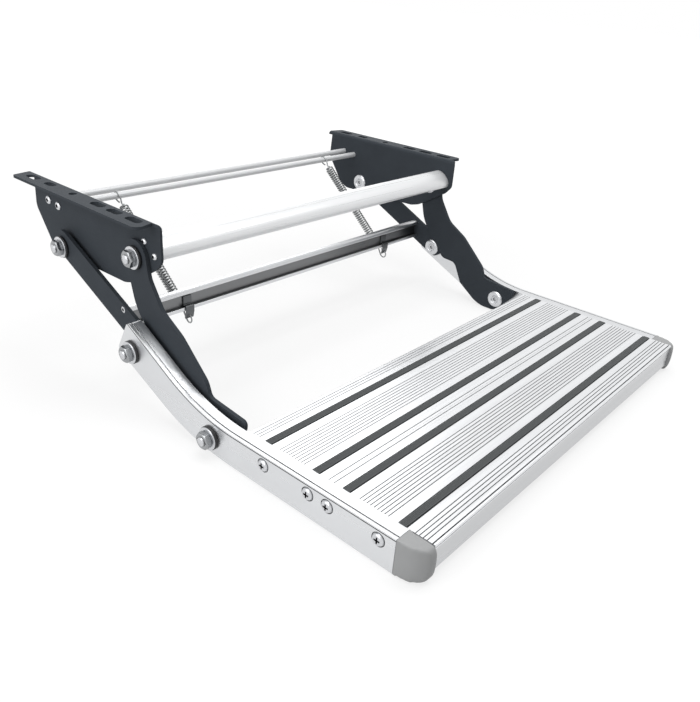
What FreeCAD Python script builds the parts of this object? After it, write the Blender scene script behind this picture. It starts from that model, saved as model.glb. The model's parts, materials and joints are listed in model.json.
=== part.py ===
import FreeCAD, Part
import math
import os
from FreeCAD import Placement, Rotation, Vector

# Folding entry step for a caravan doorway, unfolded for use. All sizes are millimetres.
# X runs across the step, +Y points under the vehicle, -Y out to the user, +Z is up.
# The origin lies midway between the two round locating holes, on the top of the flanges.
# Two angle brackets carry a four-bar linkage on each side: the front arm turns about B,
# the rear arm about A, and the tread hangs from them at C and D.

# Pivots of the linkage, as (y, z) in the unfolded pose
PIVOT_A_Y, PIVOT_A_Z = 36.2, -71.0
PIVOT_B_Y, PIVOT_B_Z = -104.3, -44.0
PIVOT_C_Y, PIVOT_C_Z = -248.8, -189.3
PIVOT_D_Y, PIVOT_D_Z = -118.3, -143.3

# Layers across the step, counted outwards from the bracket plate on each side
PLATE_OUTER_X = 264.0
PLATE_T = 3.0
RUNNING_GAP = 0.3
FRONT_ARM_T = 4.5
REAR_ARM_T = 4.5
RAIL_GAP = 0.4
RAIL_WIDTH = 16.0
RAIL_LIP = 2.0

# Angle brackets
PLATE_FRONT_Y = -144.0
PLATE_REAR_Y = 107.5
FLANGE_REAR_Y = 112.0
PLATE_DEPTH = 86.0
FLANGE_WIDTH = 24.4
FLANGE_SKEW = 6.5
BEND_INNER_R = 2.0
LOCATING_HOLE_R = 4.5
FLANGE_HOLE_X = 274.0
# Flange slots as (y, length, width)
FLANGE_SLOTS = [
    (85.0, 24.0, 10.0),
    (47.6, 18.0, 9.0),
    (-49.6, 22.0, 10.0),
    (-80.6, 22.0, 10.0),
    (-115.0, 24.0, 10.0),
]

# Pivot fasteners
PIVOT_R = 5.0
PIVOT_CLEARANCE = 0.05
FACE_R = 12.5
HEAD_T = 3.0
HEX_WIDTH = 17.0
NUT_T = 6.5
BOLT_END = 1.8
BLACK_WASHER_T = 3.0
BLACK_WASHER_R = 13.0
STEEL_WASHER_T = 1.5
SPACER_R = 8.0

# Flat sides of small round pieces and of bores that nothing turns in
WASHER_SIDES = 16
SHANK_SIDES = 12
SCREW_SIDES = 8
BORE_SIDES = 6
SPRING_SIDES = 6
HOOK_SIDES = 10

# Cross tube, tie rods and their screws
TUBE_Y, TUBE_Z = -124.9, -30.3
TUBE_HALF_LENGTH = 15.5
TUBE_HALF_WIDTH = 9.0
TUBE_WALL = 2.0
TUBE_TILT = 35.6
TUBE_SCREW_OFFSET = 10.2
TUBE_SCREW_R = 2.0
TUBE_HEAD_R = 3.2
ROD_R = 4.0
REAR_ROD_Y, REAR_ROD_Z = 75.3, -26.1
FRONT_ROD_Y, FRONT_ROD_Z = 54.1, -28.3
ROD_SCREW_R = 2.5
ROD_HEAD_R = 5.0
SCREW_HEAD_T = 2.4
SCREW_LENGTH = 16.0

# Front arm, and the angle that it turns through when the step folds away
ARM_CROWN_R = 19.5
FOLD_ANGLE = 105.28

# Rear arm, measured along and across the line from A to D
REAR_ARM_TAIL = 16.0
REAR_ARM_NOSE = 16.0
REAR_ARM_UPPER = 20.0
REAR_ARM_LOWER = 11.0

# Cross bar between the rear arms, in the same directions
BAR_FRONT_Y, BAR_TOP_Z = -84.6, -107.9
BAR_DEPTH = 8.0
BAR_HEIGHT = 27.1
BAR_WALL = 3.0
BAR_BEAD = 7.0
BAR_LIP = 4.5
BAR_SCREW_R = 2.0
BAR_HEAD_R = 4.0
SUNK = 0.1

# Over-centre springs and the clips that anchor them on the cross bar
SPRING_X = 187.0
SPRING_R = 6.6
SPRING_WIRE_R = 1.0
SPRING_PITCH = 4.8
SPRING_BODY_START = 16.0
SPRING_BODY_END = 148.0
HOOK_ALONG = 140.2
HOOK_ACROSS = -18.3
CLIP_WIDTH = 12.0
CLIP_T = 2.0
CLIP_GAP = 0.1
CLIP_RISE = 12.0
CLIP_DROP = 7.5
CLIP_END = 3.4

# Side rails of the tread
RAIL_TOP_Z = -170.3
RAIL_HEIGHT = 37.3
RAIL_FRONT_Y = -486.5
RAIL_WALL = 2.5
RAIL_TOP_BEND_R = 220.0
RAIL_BOTTOM_BEND_R = 257.0
BEAD_WIDTH = 3.5
BEAD_GROOVE = 1.2
BEAD_DEPTH = 0.8

# Planks of the tread
PLANK_REAR_Y = -287.7
PLANK_JOINT_Y = -398.0
PLANK_FRONT_Y = -513.0
PLANK_DEPTH = 25.0
PLANK_WALL = 2.2
PLANK_SEAM = 0.2
NOSE_R = 2.0
NOSE_DEPTH = 16.0
NOSE_RISE = 7.0
NOSE_GROOVE_WIDTH = 1.4
NOSE_GROOVE_DEPTH = 1.2
NOSE_GROOVE_BACK = 2.8
NOSE_GROOVE_DROP = 3.5
GROOVE_WIDTH = 1.1
GROOVE_DEPTH = 0.8
GROOVE_PITCH = 4.0
FIELD_GROOVES = 9
REAR_EDGE_GROOVES = [13.5, 17.5, 21.5]
JOINT_GROOVE_REAR = 15.8
JOINT_GROOVE_FRONT = 15.0
FRONT_EDGE_GROOVE = 13.3
FRONT_EDGE_GROOVES = 4
STRIP_WIDTH = 10.0
STRIP_T = 2.6
STRIP_PROUD = 0.6
STRIP_CENTRES = [-315.5, -378.7, -416.0, -479.2]
TREAD_SCREW_OFFSETS = [12.0, 70.6]
TREAD_SCREW_DROP = 11.3
TREAD_SCREW_R = 2.5
TREAD_HEAD_R = 4.6
TREAD_SCREW_LENGTH = 30.0
PORT_WALL = 2.0

# End caps
CAP_LENGTH = 27.5
CAP_CORNER_R = 20.0
CAP_SOFT_R = 2.5
CAP_CROWN = 3.0
CAP_FOOT_R = 9.0
CAP_PLUG = 8.0
CAP_PLUG_GAP = 0.3

# Derived layers
PLATE_INNER_X = PLATE_OUTER_X - PLATE_T
FRONT_ARM_X0 = PLATE_OUTER_X + RUNNING_GAP
FRONT_ARM_X1 = FRONT_ARM_X0 + FRONT_ARM_T
REAR_ARM_X0 = FRONT_ARM_X1 + RUNNING_GAP
REAR_ARM_X1 = REAR_ARM_X0 + REAR_ARM_T
RAIL_X0 = REAR_ARM_X1 + RAIL_GAP
RAIL_X1 = RAIL_X0 + RAIL_WIDTH
LIP_X = RAIL_X0 - RAIL_LIP
RAIL_BOTTOM_Z = RAIL_TOP_Z - RAIL_HEIGHT


def unit(vector):
    """Return the vector at length 1."""
    return vector * (1.0 / vector.Length)


PIVOT_A = Vector(0, PIVOT_A_Y, PIVOT_A_Z)
PIVOT_B = Vector(0, PIVOT_B_Y, PIVOT_B_Z)
PIVOT_D = Vector(0, PIVOT_D_Y, PIVOT_D_Z)
REAR_ARM_SPAN = (PIVOT_D - PIVOT_A).Length
ALONG = unit(PIVOT_D - PIVOT_A)
ACROSS = Vector(0, ALONG.z, -ALONG.y)


def on_rear_arm(along, across):
    """Return the (y, z) of a point given along and across the line from A to D."""
    point = PIVOT_A + ALONG * along + ACROSS * across
    return point.y, point.z


def rounded_face(corners, place):
    """Return the face inside corners (u, v, radius), each rounded by a tangent arc.

    place turns (u, v) into a point in space. A radius is limited by the edges beside it.
    """
    count = len(corners)
    flat = [Vector(u, v, 0) for u, v, radius in corners]
    pieces = []
    for index, (u, v, radius) in enumerate(corners):
        here, before, after = flat[index], flat[index - 1], flat[(index + 1) % count]
        back, ahead = unit(before - here), unit(after - here)
        half = back.getAngle(ahead) / 2
        room = 0.495 * min((before - here).Length, (after - here).Length)
        reach = min(radius / math.tan(half), room)
        if reach < 1e-6 or half > 0.4999 * math.pi:
            pieces.append((here, None, here))
            continue
        limited = reach * math.tan(half)
        middle = here + unit(back + ahead) * (limited / math.sin(half) - limited)
        pieces.append((here + back * reach, middle, here + ahead * reach))
    edges = []
    for index, (start, middle, end) in enumerate(pieces):
        if middle is not None:
            edges.append(Part.Arc(*[place(p.x, p.y) for p in (start, middle, end)]).toShape())
        following = pieces[(index + 1) % count][0]
        if (following - end).Length > 1e-6:
            edges.append(Part.LineSegment(place(end.x, end.y), place(following.x, following.y)).toShape())
    return Part.Face(Part.Wire(edges))


def slab(corners, x0, x1):
    """Return a side outline (y, z, radius) extruded across the step from x0 to x1."""
    return rounded_face(corners, lambda y, z: Vector(x0, y, z)).extrude(Vector(x1 - x0, 0, 0))


def cylinder_x(x0, x1, radius, y, z):
    """Return a cylinder across the step."""
    return Part.makeCylinder(radius, x1 - x0, Vector(x0, y, z), Vector(1, 0, 0))


def flat_turned(profile, sides, place):
    """Return a profile of (height, radius) points turned in flat sides, from one point on the axis to another.

    place turns (radius * cos, radius * sin, height) into a point in space. The corners lie on the radius.
    """
    turns = [(math.cos(2 * math.pi * k / sides), math.sin(2 * math.pi * k / sides)) for k in range(sides)]
    rings = [[place(radius * c, radius * s, height) for c, s in turns] for height, radius in profile[1:-1]]
    faces = [Part.Face(Part.makePolygon(ring + ring[:1])) for ring in (rings[0], rings[-1])]
    for low, high in zip(rings, rings[1:]):
        for k in range(sides):
            after = (k + 1) % sides
            faces.append(Part.Face(Part.makePolygon([low[k], low[after], high[after], high[k], low[k]])))
    solid = Part.Solid(Part.makeShell(faces))
    return solid if solid.Volume > 0 else Part.Solid(solid.Shells[0].reversed())


def flat_turned_x(profile, sides, y, z):
    """Return a profile of (x, radius) points turned in flat sides about the line across the step at (y, z)."""
    return flat_turned(profile, sides, lambda u, v, x: Vector(x, y + u, z + v))


def bore_x(x0, x1, radius, y, z):
    """Return the cutter of a hidden bore across the step, whose flat sides clear a shank of this radius."""
    corner_r = radius / math.cos(math.pi / BORE_SIDES)
    return flat_turned_x([(x0, 0), (x0, corner_r), (x1, corner_r), (x1, 0)], BORE_SIDES, y, z)


def ring_x(x0, x1, outer_r, inner_r, y, z):
    """Return a ring across the step."""
    disc = flat_turned_x([(x0, 0), (x0, outer_r), (x1, outer_r), (x1, 0)], WASHER_SIDES, y, z)
    return disc.cut(bore_x(x0 - 1, x1 + 1, inner_r, y, z))


def hexagon_x(x0, x1, width, y, z):
    """Return a hexagonal prism across the step."""
    corner_r = width / math.sqrt(3)
    return flat_turned_x([(x0, 0), (x0, corner_r), (x1, corner_r), (x1, 0)], 6, y, z)


def domed_screw(x_seat, head_r, shank_r, length, y, z):
    """Return a domed screw driven inwards, with its head on x_seat."""
    top = x_seat + SCREW_HEAD_T
    return flat_turned_x([(x_seat - length, 0), (x_seat - length, shank_r), (x_seat, shank_r), (x_seat, head_r),
                          (x_seat + 0.5 * SCREW_HEAD_T, head_r), (top, 0.6 * head_r), (top, 0)], SCREW_SIDES, y, z)


def sunk_screw(x_face, head_r, shank_r, length, y, z):
    """Return a countersunk screw driven inwards, with its head just under x_face."""
    top = x_face - SUNK
    return flat_turned_x([(x_face - length, 0), (x_face - length, shank_r), (top - head_r + shank_r, shank_r),
                          (top, head_r), (top, 0)], SCREW_SIDES, y, z)


def headed_bolt(x_head, x_end, y, z):
    """Return a bolt with a round flat head that bears on x_head from inside and a shank that ends at x_end."""
    head = flat_turned_x([(x_head - HEAD_T, 0), (x_head - HEAD_T, 0.8 * FACE_R), (x_head - 0.4 * HEAD_T, FACE_R),
                          (x_head, FACE_R), (x_head, 0)], WASHER_SIDES, y, z)
    return head.fuse(shank_x(x_head, x_end, PIVOT_R, y, z))


def shank_x(x0, x1, radius, y, z):
    """Return a bolt's shank across the step, whose corners lie on the radius."""
    return flat_turned_x([(x0, 0), (x0, radius), (x1, radius), (x1, 0)], SHANK_SIDES, y, z)


def outer_stack(x_seat, y, z):
    """Return the black washer, steel washer and nut outside x_seat, and the x of the bolt's end."""
    bore = PIVOT_R + PIVOT_CLEARANCE
    x_steel = x_seat + BLACK_WASHER_T
    x_nut = x_steel + STEEL_WASHER_T
    black = ring_x(x_seat, x_steel, BLACK_WASHER_R, bore, y, z)
    steel = ring_x(x_steel, x_nut, FACE_R, bore, y, z)
    nut = hexagon_x(x_nut, x_nut + NUT_T, HEX_WIDTH, y, z).cut(bore_x(x_nut - 1, x_nut + NUT_T + 1, bore, y, z))
    return black, steel, nut, x_nut + NUT_T + BOLT_END


def tube_screw_places():
    """Return the (y, z) of the two screws that hold each end of the cross tube."""
    tilt = math.radians(TUBE_TILT)
    dy, dz = TUBE_SCREW_OFFSET * math.cos(tilt), TUBE_SCREW_OFFSET * math.sin(tilt)
    return [(TUBE_Y + dy, TUBE_Z + dz), (TUBE_Y - dy, TUBE_Z - dz)]


def bracket():
    """Return the right angle bracket: a plate with a flange bent outwards along its top."""
    flange_x = PLATE_OUTER_X + FLANGE_WIDTH
    reach = 20.0
    angle = rounded_face([(PLATE_INNER_X, -PLATE_DEPTH - reach, 0), (PLATE_INNER_X, 0, BEND_INNER_R + PLATE_T),
                          (flange_x, 0, 0), (flange_x, -PLATE_T, 0),
                          (PLATE_OUTER_X, -PLATE_T, BEND_INNER_R), (PLATE_OUTER_X, -PLATE_DEPTH - reach, 0)],
                         lambda x, z: Vector(x, PLATE_FRONT_Y - reach, z))
    angle = angle.extrude(Vector(0, PLATE_REAR_Y - PLATE_FRONT_Y + 2 * reach, 0))
    bend_z = -PLATE_T - BEND_INNER_R
    plate_outline = [(FLANGE_REAR_Y + 1, 1, 0), (FLANGE_REAR_Y + 1, bend_z, 0), (PLATE_REAR_Y - 3, bend_z, 0),
                     (PLATE_REAR_Y, -40, 14), (PLATE_REAR_Y - 27.5, 8 - PLATE_DEPTH, 16),
                     (PLATE_REAR_Y - 41.5, -PLATE_DEPTH, 20), (PLATE_FRONT_Y + 70, 3 - PLATE_DEPTH, 24),
                     (PLATE_FRONT_Y + 56, 7 - PLATE_DEPTH, 24), (PLATE_FRONT_Y + 10, 35 - PLATE_DEPTH, 12),
                     (PLATE_FRONT_Y, 46 - PLATE_DEPTH, 10), (PLATE_FRONT_Y, 1, 8)]
    plate = slab(plate_outline, PLATE_INNER_X - reach, flange_x + reach)
    bend_x = PLATE_OUTER_X + BEND_INNER_R
    flange_outline = [(PLATE_INNER_X - 1, PLATE_FRONT_Y - reach, 0), (bend_x, PLATE_FRONT_Y - reach, 0),
                      (bend_x, PLATE_FRONT_Y + 10, 0), (flange_x, PLATE_FRONT_Y + 10 - FLANGE_SKEW, 8),
                      (flange_x, FLANGE_REAR_Y - 5, 4), (bend_x, FLANGE_REAR_Y, 0),
                      (PLATE_INNER_X - 1, FLANGE_REAR_Y, 0)]
    flange = rounded_face(flange_outline, lambda x, y: Vector(x, y, -PLATE_DEPTH - reach))
    body = angle.common(plate).common(flange.extrude(Vector(0, 0, PLATE_DEPTH + 2 * reach)))
    holes = [Part.makeCylinder(LOCATING_HOLE_R, 3 * PLATE_T, Vector(FLANGE_HOLE_X, 0, -2 * PLATE_T))]
    for y, length, width in FLANGE_SLOTS:
        holes.append(slot_cutter(y, length, width, y in (FLANGE_SLOTS[0][0], FLANGE_SLOTS[-1][0])))
    for y, z, radius in [(PIVOT_A_Y, PIVOT_A_Z, PIVOT_R), (PIVOT_B_Y, PIVOT_B_Z, PIVOT_R),
                         (REAR_ROD_Y, REAR_ROD_Z, ROD_SCREW_R), (FRONT_ROD_Y, FRONT_ROD_Z, ROD_SCREW_R)]:
        holes.append(bore_x(PLATE_INNER_X - 1, PLATE_OUTER_X + 1, radius + PIVOT_CLEARANCE, y, z))
    for y, z in tube_screw_places():
        holes.append(bore_x(PLATE_INNER_X - 1, PLATE_OUTER_X + 1, TUBE_SCREW_R + PIVOT_CLEARANCE, y, z))
    return body.cut(holes).removeSplitter()


def slot_cutter(y, length, width, round_ends):
    """Return the cutter for a flange slot that runs along the step's depth, with round or three-sided ends."""
    x0, x1 = FLANGE_HOLE_X - width / 2, FLANGE_HOLE_X + width / 2
    y0, y1 = y - length / 2, y + length / 2
    if round_ends:
        outline = [(x0, y0, width / 2), (x1, y0, width / 2), (x1, y1, width / 2), (x0, y1, width / 2)]
    else:
        cut = 0.3 * width
        outline = [(x0, y0 + cut, 0), (x0 + cut, y0, 0), (x1 - cut, y0, 0), (x1, y0 + cut, 0),
                   (x1, y1 - cut, 0), (x1 - cut, y1, 0), (x0 + cut, y1, 0), (x0, y1 - cut, 0)]
    return rounded_face(outline, lambda u, v: Vector(u, v, -2 * PLATE_T)).extrude(Vector(0, 0, 3 * PLATE_T))


def ellipse_slab(half_length, half_width, half_span):
    """Return an elliptical bar across the step at the cross tube's place and tilt."""
    ellipse = Part.Ellipse(Vector(0, 0, 0), half_length, half_width).toShape()
    bar = Part.Face(Part.Wire(ellipse)).extrude(Vector(0, 0, 2 * half_span))
    tilt = math.radians(TUBE_TILT)
    turn = Rotation(Vector(0, math.cos(tilt), math.sin(tilt)), Vector(0, -math.sin(tilt), math.cos(tilt)),
                    Vector(1, 0, 0), "XYZ")
    bar.Placement = Placement(Vector(-half_span, TUBE_Y, TUBE_Z), turn)
    return bar


def cross_tube():
    """Return the oval tube between the brackets, with a screw port along each long end."""
    span = PLATE_INNER_X
    outer = ellipse_slab(TUBE_HALF_LENGTH, TUBE_HALF_WIDTH, span)
    inner = ellipse_slab(TUBE_HALF_LENGTH - TUBE_WALL, TUBE_HALF_WIDTH - TUBE_WALL, span)
    ports = [bore_x(-span, span, TUBE_SCREW_R + PORT_WALL, y, z) for y, z in tube_screw_places()]
    bores = [bore_x(-span - 1, span + 1, TUBE_SCREW_R + PIVOT_CLEARANCE, y, z) for y, z in tube_screw_places()]
    return outer.cut(inner).fuse([port.common(outer) for port in ports]).cut(bores).removeSplitter()


def tie_rod(y, z):
    """Return a round rod between the brackets, drilled at both ends for its screws."""
    rod = cylinder_x(-PLATE_INNER_X, PLATE_INNER_X, ROD_R, y, z)
    depth = SCREW_LENGTH
    holes = [bore_x(PLATE_INNER_X - depth, PLATE_INNER_X + 1, ROD_SCREW_R + PIVOT_CLEARANCE, y, z),
             bore_x(-PLATE_INNER_X - 1, depth - PLATE_INNER_X, ROD_SCREW_R + PIVOT_CLEARANCE, y, z)]
    return rod.cut(holes)


def front_arm():
    """Return the right front arm: a plate with a round crown, a notch for the folded rear pivot and a wide toe."""
    crown = ARM_CROWN_R
    folded_a = PIVOT_B + Rotation(Vector(1, 0, 0), -FOLD_ANGLE).multVec(PIVOT_A - PIVOT_B)
    outline = [
        (PIVOT_B_Y + 0.97 * crown, PIVOT_B_Z - 0.25 * crown, 0),
        (PIVOT_B_Y - 0.987 * crown, PIVOT_B_Z + 0.16 * crown, 0),
        (PIVOT_B_Y - 22.2, PIVOT_B_Z - 18.0, 25),
        (PIVOT_B_Y - 42.7, PIVOT_B_Z - 49.0, 30),
        (PIVOT_C_Y + 71.8, PIVOT_C_Z + 78.8, 30),
        (PIVOT_C_Y + 32.1, PIVOT_C_Z + 42.2, 20),
        (PIVOT_C_Y + 25.8, PIVOT_C_Z + 26.3, 8),
        (PIVOT_C_Y - 28.7, PIVOT_C_Z + 21.3, 7),
        (PIVOT_C_Y - 27.7, PIVOT_C_Z + 10.8, 6),
        (PIVOT_C_Y - 0.2, PIVOT_C_Z - 18.7, 14),
        (PIVOT_C_Y + 29.8, PIVOT_C_Z - 18.7, 50),
        (folded_a.y - 15.1, folded_a.z - 10.6, 10),
        (folded_a.y - 0.1, folded_a.z + 18.4, 12),
        (PIVOT_D_Y - 25.2, PIVOT_D_Z - 9.2, 12),
        (PIVOT_D_Y + 18.3, PIVOT_D_Z + 40.3, 60),
    ]
    plate = slab(outline, FRONT_ARM_X0, FRONT_ARM_X1)
    plate = plate.fuse(cylinder_x(FRONT_ARM_X0, FRONT_ARM_X1, crown, PIVOT_B_Y, PIVOT_B_Z)).removeSplitter()
    bore = PIVOT_R + PIVOT_CLEARANCE
    holes = [cylinder_x(FRONT_ARM_X0 - 1, FRONT_ARM_X1 + 1, bore, y, z)
             for y, z in [(PIVOT_B_Y, PIVOT_B_Z), (PIVOT_C_Y, PIVOT_C_Z)]]
    return plate.cut(holes)


def bar_screw_place():
    """Return the (y, z) of the screw that holds the cross bar on its rear arm."""
    return BAR_FRONT_Y + BAR_DEPTH / 2, BAR_TOP_Z - BAR_BEAD / 2


def rear_arm():
    """Return the right rear arm: a straight rounded link from A to D."""
    ends = [(-REAR_ARM_TAIL, REAR_ARM_UPPER, 15), (-REAR_ARM_TAIL, -REAR_ARM_LOWER, 12),
            (REAR_ARM_SPAN + REAR_ARM_NOSE, -REAR_ARM_LOWER, 12), (REAR_ARM_SPAN + REAR_ARM_NOSE, REAR_ARM_UPPER, 15)]
    plate = slab([on_rear_arm(along, across) + (radius,) for along, across, radius in ends], REAR_ARM_X0, REAR_ARM_X1)
    bore = PIVOT_R + PIVOT_CLEARANCE
    holes = [cylinder_x(REAR_ARM_X0 - 1, REAR_ARM_X1 + 1, bore, y, z)
             for y, z in [(PIVOT_A_Y, PIVOT_A_Z), (PIVOT_D_Y, PIVOT_D_Z)]]
    bore, sink = BAR_SCREW_R + 2 * PIVOT_CLEARANCE, BAR_HEAD_R + 2 * PIVOT_CLEARANCE
    holes.append(flat_turned_x([(REAR_ARM_X0 - 1, 0), (REAR_ARM_X0 - 1, bore), (REAR_ARM_X1 - SUNK - sink + bore, bore),
                                (REAR_ARM_X1 - SUNK, sink), (REAR_ARM_X1 + 1, sink), (REAR_ARM_X1 + 1, 0)],
                               SCREW_SIDES, *bar_screw_place()))
    return plate.cut(holes)


def cross_bar():
    """Return the bar between the rear arms: an upright web with a screw bead along its top and a lip along its foot."""
    front, rear = BAR_FRONT_Y, BAR_FRONT_Y + BAR_DEPTH
    top, foot = BAR_TOP_Z, BAR_TOP_Z - BAR_HEIGHT
    web = rear - BAR_WALL
    outline = [(front, top, 2.5), (front, top - BAR_BEAD, 1.5), (web, top - BAR_BEAD, 0), (web, foot + BAR_LIP, 0),
               (front, foot + BAR_LIP, 1), (front, foot, 1), (rear, foot, 0), (rear, top, 2.5)]
    bore = bore_x(-REAR_ARM_X0 - 1, REAR_ARM_X0 + 1, BAR_SCREW_R + PIVOT_CLEARANCE, *bar_screw_place())
    return slab(outline, -REAR_ARM_X0, REAR_ARM_X0).cut(bore).removeSplitter()


def spring_clip():
    """Return the right clip: a strap fixed on the bar's web and bent out over its lip to hold the spring."""
    web = BAR_FRONT_Y + BAR_DEPTH - BAR_WALL - CLIP_T / 2
    front = BAR_FRONT_Y - CLIP_T / 2 - CLIP_GAP
    over = BAR_TOP_Z - BAR_HEIGHT + BAR_LIP + CLIP_T / 2 + CLIP_GAP
    anchor = Vector(SPRING_X, *on_rear_arm(HOOK_ALONG, HOOK_ACROSS))
    bend = Vector(SPRING_X, front, over - CLIP_DROP)
    leg = unit(anchor - bend)
    hole = anchor - leg * hook_ring_r()
    centreline = [Vector(SPRING_X, web, over + CLIP_RISE), Vector(SPRING_X, web, over), Vector(SPRING_X, front, over),
                  bend, hole + leg * CLIP_END]
    path = rounded_path(centreline, [0, 1.8, 1.8, 4, 0])
    start = path.Vertexes[0].Point
    side, face = Vector(CLIP_WIDTH / 2, 0, 0), Vector(0, CLIP_T / 2, 0)
    section = Part.makePolygon([start + corner for corner in
                                (face - side, face + side, side - face, -side - face, face - side)])
    strap = path.makePipeShell([section], True, False)
    through = Vector(0, -leg.z, leg.y)
    hole_r = SPRING_WIRE_R + 0.8
    turn = Rotation(Vector(1, 0, 0), through.cross(Vector(1, 0, 0)), through, "ZXY")
    cutter = flat_turned([(-2 * CLIP_T, 0), (-2 * CLIP_T, hole_r), (2 * CLIP_T, hole_r), (2 * CLIP_T, 0)], BORE_SIDES,
                         lambda u, v, height: hole + turn.multVec(Vector(u, v, height)))
    return strap.cut(cutter)


def rounded_path(points, radii):
    """Return an open wire of straight runs joined by tangent arcs."""
    edges = []
    last = points[0]
    for before, here, after, radius in zip(points, points[1:], points[2:], radii[1:]):
        back, ahead = unit(before - here), unit(after - here)
        half = back.getAngle(ahead) / 2
        reach = radius / math.tan(half)
        middle = here + unit(back + ahead) * (radius / math.sin(half) - radius)
        edges.append(Part.LineSegment(last, here + back * reach).toShape())
        last = here + ahead * reach
        edges.append(Part.Arc(here + back * reach, middle, last).toShape())
    edges.append(Part.LineSegment(last, points[-1]).toShape())
    return Part.Wire(edges)


def hook_ring_r():
    """Return the radius of a spring hook's ring, to the middle of its wire."""
    return ROD_R + SPRING_WIRE_R + RUNNING_GAP


def spring():
    """Return the right spring: a close-wound body with a turned-out wire and ring at each end."""
    start = Vector(SPRING_X, FRONT_ROD_Y, FRONT_ROD_Z)
    end = Vector(SPRING_X, *on_rear_arm(HOOK_ALONG, HOOK_ACROSS))
    axis = unit(end - start)
    length = (end - start).Length
    turns = int((SPRING_BODY_END - SPRING_BODY_START) / SPRING_PITCH)
    valley = SPRING_R - SPRING_WIRE_R
    top = SPRING_BODY_START + turns * SPRING_PITCH
    ring_r = hook_ring_r()
    profile = [(ring_r, 0), (ring_r, SPRING_WIRE_R), (SPRING_BODY_START, SPRING_WIRE_R)]
    for turn in range(turns):
        low = SPRING_BODY_START + turn * SPRING_PITCH
        profile += [(low, valley), (low + SPRING_PITCH / 2, SPRING_R)]
    profile += [(top, valley), (top, SPRING_WIRE_R), (length - ring_r, SPRING_WIRE_R), (length - ring_r, 0)]
    body = flat_turned(profile, SPRING_SIDES, Vector)
    whole = body.fuse([hook_ring(ring_r, 0), hook_ring(ring_r, length)])
    whole.Placement = Placement(start, Rotation(Vector(1, 0, 0), Vector(0, -axis.z, axis.y), axis, "XZY"))
    return whole


def hook_ring(ring_r, height):
    """Return a spring's ring at this height on its axis, as straight runs of square wire."""
    side = SPRING_WIRE_R * math.sqrt(math.pi) / 2
    outer, inner = (rounded_face([((ring_r + step) * math.cos(2 * math.pi * k / HOOK_SIDES),
                                   (ring_r + step) * math.sin(2 * math.pi * k / HOOK_SIDES), 0)
                                  for k in range(HOOK_SIDES)], lambda u, v: Vector(-side, u, height + v))
                    for step in (side, -side))
    return outer.cut(inner).extrude(Vector(2 * side, 0, 0))


def rail_outline(front_y):
    """Return the rail's side outline: level along the planks and swept up to D at the rear."""
    return [(PIVOT_D_Y + 4.7, PIVOT_D_Z + 33.9, 6), (PIVOT_C_Y + 18.1, RAIL_TOP_Z, RAIL_TOP_BEND_R),
            (front_y, RAIL_TOP_Z, 0), (front_y, RAIL_BOTTOM_Z, 0),
            (PIVOT_C_Y + 29.0, RAIL_BOTTOM_Z, RAIL_BOTTOM_BEND_R), (PIVOT_D_Y + 27.1, PIVOT_D_Z - 5.9, 6)]


def tread_screw_places():
    """Return the (y, z) of the four screws through each rail, two to a plank."""
    z = RAIL_TOP_Z - TREAD_SCREW_DROP
    near, far = TREAD_SCREW_OFFSETS
    return [(PLANK_JOINT_Y + offset, z) for offset in (far, near, -near, -far)]


def side_rail():
    """Return the right side rail: a closed box section with a beaded top edge and a lip along the planks."""
    outer = slab(rail_outline(RAIL_FRONT_Y), RAIL_X0, RAIL_X1)
    longer = rounded_face(rail_outline(RAIL_FRONT_Y - 3 * RAIL_WALL), lambda y, z: Vector(RAIL_X0 + RAIL_WALL, y, z))
    hollow = longer.makeOffset2D(-RAIL_WALL).extrude(Vector(RAIL_WIDTH - 2 * RAIL_WALL, 0, 0))
    lip = Part.makeBox(RAIL_LIP, PLANK_REAR_Y - RAIL_FRONT_Y, RAIL_HEIGHT, Vector(LIP_X, RAIL_FRONT_Y, RAIL_BOTTOM_Z))
    band = slab(rail_outline(RAIL_FRONT_Y), RAIL_X1 - BEAD_WIDTH - BEAD_GROOVE, RAIL_X1 - BEAD_WIDTH)
    lowered = band.copy()
    lowered.translate(Vector(0, 0, -BEAD_DEPTH))
    shell = outer.fuse(lip).cut([hollow, band.cut(lowered)])
    holes = [bore_x(LIP_X - 1, RAIL_X1 + 1, PIVOT_R + PIVOT_CLEARANCE, y, z)
             for y, z in [(PIVOT_C_Y, PIVOT_C_Z), (PIVOT_D_Y, PIVOT_D_Z)]]
    holes += [bore_x(LIP_X - 1, RAIL_X1 + 1, TREAD_SCREW_R + PIVOT_CLEARANCE, y, z)
              for y, z in tread_screw_places()]
    return shell.cut(holes).removeSplitter()


def v_groove(y, width=GROOVE_WIDTH, depth=GROOVE_DEPTH):
    """Return the corners of a V groove in a plank's top line."""
    return [(y - width / 2, RAIL_TOP_Z, 0), (y, RAIL_TOP_Z - depth, 0), (y + width / 2, RAIL_TOP_Z, 0)]


def strip_channel(y):
    """Return the corners of a grip strip's channel in a plank's top line."""
    floor = RAIL_TOP_Z - STRIP_T + STRIP_PROUD
    return [(y - STRIP_WIDTH / 2, RAIL_TOP_Z, 0), (y - STRIP_WIDTH / 2, floor, 0),
            (y + STRIP_WIDTH / 2, floor, 0), (y + STRIP_WIDTH / 2, RAIL_TOP_Z, 0)]


def grooved_top(front_y, rear_y, grooves, strips):
    """Return the top line of a plank from front to rear, with its grooves and strip channels as corners."""
    features = {y: v_groove(y) for y in grooves}
    features.update({y: strip_channel(y) for y in strips})
    corners = [(front_y, RAIL_TOP_Z, 0)]
    for y in sorted(features):
        corners += features[y]
    return corners + [(rear_y, RAIL_TOP_Z, 0)]


def groove_field(centre):
    """Return the places of one field of evenly spaced grooves."""
    return [centre + (k - (FIELD_GROOVES - 1) / 2) * GROOVE_PITCH for k in range(FIELD_GROOVES)]


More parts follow.
